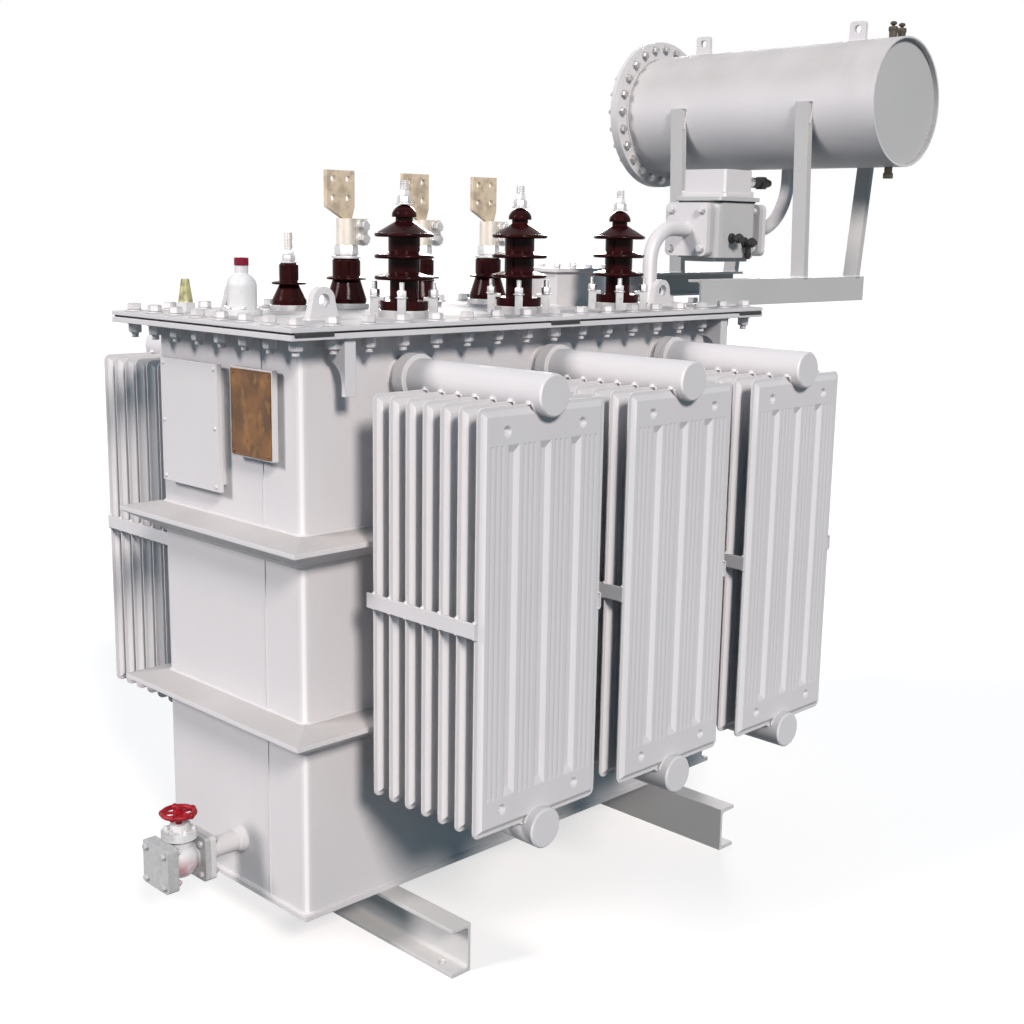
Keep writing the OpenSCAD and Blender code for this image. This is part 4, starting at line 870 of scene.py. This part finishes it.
class TRANSFORMER_OT_conservator_fittings(bpy.types.Operator):
    """Bolt the conservator's cover on, cap its plugs and weld its flange, lugs and supports"""

    bl_idname = "transformer.conservator_fittings"
    bl_label = "Conservator fittings"

    def execute(self, context):
        size = context.scene.transformer_sizes
        bolts, welds, caps = Stock(), Stock(), Stock()
        flats, stud, ring_out = 0.017, 0.006, 0.002
        fine_bead, head_bead, head_run = 0.0035, 0.004, 0.055
        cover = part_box("conservator_cover")
        axis = middle(cover)
        flange = (cover[1].x - cover[0].x) / 2
        ring = (size.shell + flange) / 2 + ring_out
        inner = cover[0].y - size.shell_flange
        for y, side in ((inner, -1), (cover[1].y, 1)):
            for at in circle((axis.x, y, axis.z), (0, 1, 0), ring, size.shell_bolts):
                bolts.bolt(facing(at, (0, side, 0), at.z * 9), flats, stud if side > 0 else 0.0)
        welds.bead(circle((axis.x, inner, axis.z), (0, 1, 0), size.shell, 64), size.bead, True)
        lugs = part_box("conservator_lugs")
        for name in ("near", "far"):
            eye = spot("conservator_lug_" + name)
            half = Vector(((lugs[1].x - lugs[0].x) / 2, lugs[1].y - abs(eye.y), 0))
            welds.bead(rectangle(eye - half, eye + half, axis.z + size.shell), fine_bead, True)
        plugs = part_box("conservator_plugs")
        radius = (plugs[1].y - plugs[0].y) / 2
        for x in (plugs[0].x + radius, plugs[1].x - radius):
            place = facing((x, middle(plugs).y, plugs[1].z))
            caps.turn([(0.0105, -0.008), (0.0115, -0.006), (0.0115, 0.002), (0.010, 0.004)], place, 6)
            caps.turn([(0.004, 0.004), (0.004, 0.007), (0.008, 0.009), (0.0085, 0.013), (0.005, 0.016)],
                      place, 14)
        caps.turn([(0.0115, -0.006), (0.0125, -0.004), (0.0125, 0.006), (0.011, 0.008)],
                  facing((axis.x, middle(plugs).y, plugs[0].z), DOWN), 6)
        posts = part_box("support_posts")
        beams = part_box("support_beams")
        wide = size.post / 2
        front, back, top = posts[0].x, posts[0].x + size.post_d, posts[1].z
        for side in SIDES:
            y = side * (posts[1].y - wide)
            for x in (front + size.post_lean, beams[1].x - size.strut_back):
                foot = rectangle((x, y - wide), (x + size.post_d, y + wide), beams[1].z)
                welds.bead(foot, fine_bead, True)
            for run in (y - wide, y + wide):
                welds.bead([(beams[0].x, run, beams[0].z), (COVER[1].x, run, beams[0].z)], size.bead)
                welds.bead([((front + back) / 2, run, top - head_run), (back, run, top)], fine_bead)
            welds.bead([(front, y - wide, top), (back, y - wide, top), (back, y + wide, top)], head_bead)
        bolts.piece("conservator_bolts", "worn_zinc", "steel")
        welds.piece("conservator_welds")
        caps.piece("conservator_plug_caps", "bronze", "brass")
        return {"FINISHED"}


class TRANSFORMER_OT_end_wall_fittings(bpy.types.Operator):
    """Screw the terminal box's lid on and rivet the bare rating plate"""

    bl_idname = "transformer.end_wall_fittings"
    bl_label = "End wall fittings"

    def execute(self, context):
        screws, rivets = Stock(), Stock()
        screw, screw_in = (0.0042, 0.0026), 0.010
        rivet, rivet_in, edge_in, edge_gap, edge = (0.0036, 0.0024), 0.007, 0.0015, 0.001, 0.0014
        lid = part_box("terminal_box")
        low, high = inset(lid, screw_in)
        for y in (low.y, high.y):
            for z in spread(low.z, high.z, 2):
                screws.dab(facing((lid[0].x, y, z), OUTWARD), *screw)
        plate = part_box("rating_plate")
        front = plate[0].x
        low, high = inset(plate, rivet_in)
        for y in (low.y, high.y):
            for z in (low.z, high.z):
                rivets.dab(facing((front, y, z), OUTWARD), *rivet)
        low, high = inset(plate, edge_in)
        start, end = inset(plate, edge_gap)
        for y in (low.y, high.y):
            rivets.bead([(front, y, start.z), (front, y, end.z)], edge, ripple=0.03)
        for z in (low.z, high.z):
            rivets.bead([(front, start.y, z), (front, end.y, z)], edge, ripple=0.03)
        screws.piece("terminal_box_screws")
        rivets.piece("rating_plate_rivets", "etched_plate", "brass")
        return {"FINISHED"}


class TRANSFORMER_OT_drain_fittings(bpy.types.Operator):
    """Bolt the drain valve's flanges, collar its pipe at the wall and nut its handwheel"""

    bl_idname = "transformer.drain_fittings"
    bl_label = "Drain fittings"

    def execute(self, context):
        size = context.scene.transformer_sizes
        bolts, collar, wheel_nut = Stock(), Stock(), Stock()
        flats, stud = 0.012, 0.004
        bonnet_ring, bonnet_flats, bonnet_stud = 0.027, 0.009, 0.003
        nut_in, nut_flats, nut_stud = 0.004, 0.011, 0.002
        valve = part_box("drain_valve")
        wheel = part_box("drain_handwheel")
        axis = Vector((middle(wheel).x, middle(valve).y, valve[0].z + (valve[1].y - valve[0].y) / 2))
        outer = valve[0].x + size.drain_flange
        for joint in (outer, outer + size.drain_body):
            for side in SIDES:
                for at, y, z in flange_corners(joint + side * size.drain_flange, axis, size.drain_bolt):
                    end = stud if side > 0 else 0.0
                    bolts.bolt(facing(at, (side, 0, 0), y * z), flats, end, washer=False)
        for at in circle((axis.x, axis.y, axis.z + size.bonnet), UP, bonnet_ring, 6, 0.4):
            bolts.bolt(facing(at, UP, at.x * 50), bonnet_flats, bonnet_stud, washer=False)
        r = size.drain_pipe
        collar.turn([(r * 1.30, 0), (r * 1.30, 0.005), (r * 1.22, 0.010), (r * 1.08, 0.016),
                     (r * 1.01, 0.018)], facing((WALLS[0].x, axis.y, axis.z), OUTWARD), 40)
        wheel_nut.bolt(facing((axis.x, axis.y, wheel[1].z - nut_in), UP, 0.2), nut_flats, nut_stud)
        bolts.piece("drain_valve_bolts", "valve_paint", "steel")
        collar.piece("drain_pipe_collar")
        wheel_nut.piece("handwheel_nut", "red_gloss", "red_paint", "handwheel")
        return {"FINISHED"}


class TRANSFORMER_OT_stage(bpy.types.Operator):
    """Set up the floor, the light and the camera"""

    bl_idname = "transformer.stage"
    bl_label = "Stage"

    def floor(self, s):
        """Broad pale floor that keeps the shadow and throws little light back."""
        half, depth = 30.0, 0.02
        slab = Stock()
        slab.loft([rectangle((-half, -half), (half, half), z) for z in (-depth, 0)])
        look = Shader("floor_paint")
        speck = look.noise(3, 2)
        look.done(look.mix(speck, tuple(s.floor_bounce), shade(s.floor_bounce, 0.98)), 0.9)
        bright = look.node("ShaderNodeBsdfPrincipled", None, {
            "Base Color": look.mix(speck, tuple(s.floor), shade(s.floor, 0.99)), "Roughness": 0.9,
            "Specular IOR Level": 0.0, "Emission Color": (1, 1, 1, 1), "Emission Strength": s.glow})
        both = look.node("ShaderNodeMixShader", None,
                         {0: look.seen(), 1: Wire(look, look.surface.outputs[0]), 2: bright})
        look.feed(look.out.inputs["Surface"], both)
        floor = slab.made("floor", look.material)

    def sky(self, scene, s):
        """Even light, with a white background for the eye and for reflections."""
        scene.world = bpy.data.worlds.new("studio")
        scene.world.use_nodes = True
        nodes = Nodes(scene.world.node_tree)
        even = nodes.node("ShaderNodeBackground", None, {"Color": (*s.sky_tint, 1), "Strength": s.sky})
        white = nodes.node("ShaderNodeBackground", None, {"Color": (1, 1, 1, 1), "Strength": 1.0})
        both = nodes.node("ShaderNodeMixShader", None, {0: nodes.seen(), 1: even, 2: white})
        out = nodes.tree.nodes.new("ShaderNodeOutputWorld")
        nodes.feed(out.inputs["Surface"], both)

    def lamp(self, name, energy, tint, way, soft):
        """Soft sunlike lamp that shines one way."""
        sun = bpy.data.lights.new(name, "SUN")
        sun.energy = energy
        sun.color = tint
        sun.angle = math.radians(soft)
        add(name, sun).rotation_euler = Vector(way).to_track_quat("-Z", "Y").to_euler()

    def camera(self, scene, s):
        """Camera at the photograph's viewing angle."""
        lens = bpy.data.cameras.new("camera")
        lens.sensor_width = 36
        lens.sensor_fit = "HORIZONTAL"
        lens.lens = s.lens
        ahead = Vector((math.cos(s.tilt) * math.sin(s.azimuth), math.cos(s.tilt) * math.cos(s.azimuth),
                        -math.sin(s.tilt)))
        aim = ahead.to_track_quat("-Z", "Y").to_matrix().to_4x4() @ Matrix.Rotation(s.roll, 4, "Z")
        scene.camera = add("camera", lens)
        scene.camera.matrix_world = Matrix.Translation(Vector(s.eye)) @ aim

    def execute(self, context):
        scene = context.scene
        s = scene.transformer_stage
        scene.view_settings.view_transform = "Standard"
        self.floor(s)
        self.sky(scene, s)
        self.lamp("key", s.key, (1.0, 0.92, 0.88), s.key_way, 13)
        self.lamp("fill", s.fill, (1.0, 0.92, 0.90), s.fill_way, 16)
        self.lamp("back", s.back, (1.0, 0.96, 0.94), s.back_way, 20)
        self.camera(scene, s)
        return {"FINISHED"}


PIECES = (
    TRANSFORMER_OT_finish_frame,
    TRANSFORMER_OT_cover_bolts,
    TRANSFORMER_OT_tank_welds,
    TRANSFORMER_OT_radiator_welds,
    TRANSFORMER_OT_bushing_fasteners,
    TRANSFORMER_OT_cover_fittings,
    TRANSFORMER_OT_relay_fittings,
    TRANSFORMER_OT_conservator_fittings,
    TRANSFORMER_OT_end_wall_fittings,
    TRANSFORMER_OT_drain_fittings,
    TRANSFORMER_OT_stage,
)


class TRANSFORMER_PT_sidebar(bpy.types.Panel):
    """Lists the sizes, the colours and the pieces"""

    bl_label = "Power transformer"
    bl_space_type = "VIEW_3D"
    bl_region_type = "UI"
    bl_category = "Transformer"

    def draw(self, context):
        for group in (context.scene.transformer_sizes, context.scene.transformer_finish,
                      context.scene.transformer_stage):
            box = self.layout.box()
            for key in group.__annotations__:
                box.prop(group, key)
        for piece in PIECES:
            self.layout.operator(piece.bl_idname)


GROUPS = (TransformerFinish, TransformerSizes, TransformerStage)


def register():
    """Adds the classes and the groups of settings to Blender."""
    for part in (*GROUPS, *PIECES, TRANSFORMER_PT_sidebar):
        bpy.utils.register_class(part)
    bpy.types.Scene.transformer_finish = PointerProperty(type=TransformerFinish)
    bpy.types.Scene.transformer_sizes = PointerProperty(type=TransformerSizes)
    bpy.types.Scene.transformer_stage = PointerProperty(type=TransformerStage)


def unregister():
    """Takes them out again."""
    del bpy.types.Scene.transformer_stage
    del bpy.types.Scene.transformer_sizes
    del bpy.types.Scene.transformer_finish
    for part in (TRANSFORMER_PT_sidebar, *PIECES[::-1], *GROUPS[::-1]):
        bpy.utils.unregister_class(part)


def main():
    """Registers the add-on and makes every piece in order."""
    register()
    for piece in PIECES:
        getattr(bpy.ops.transformer, piece.bl_idname.split(".")[1])()


if __name__ == "__main__":
    main()
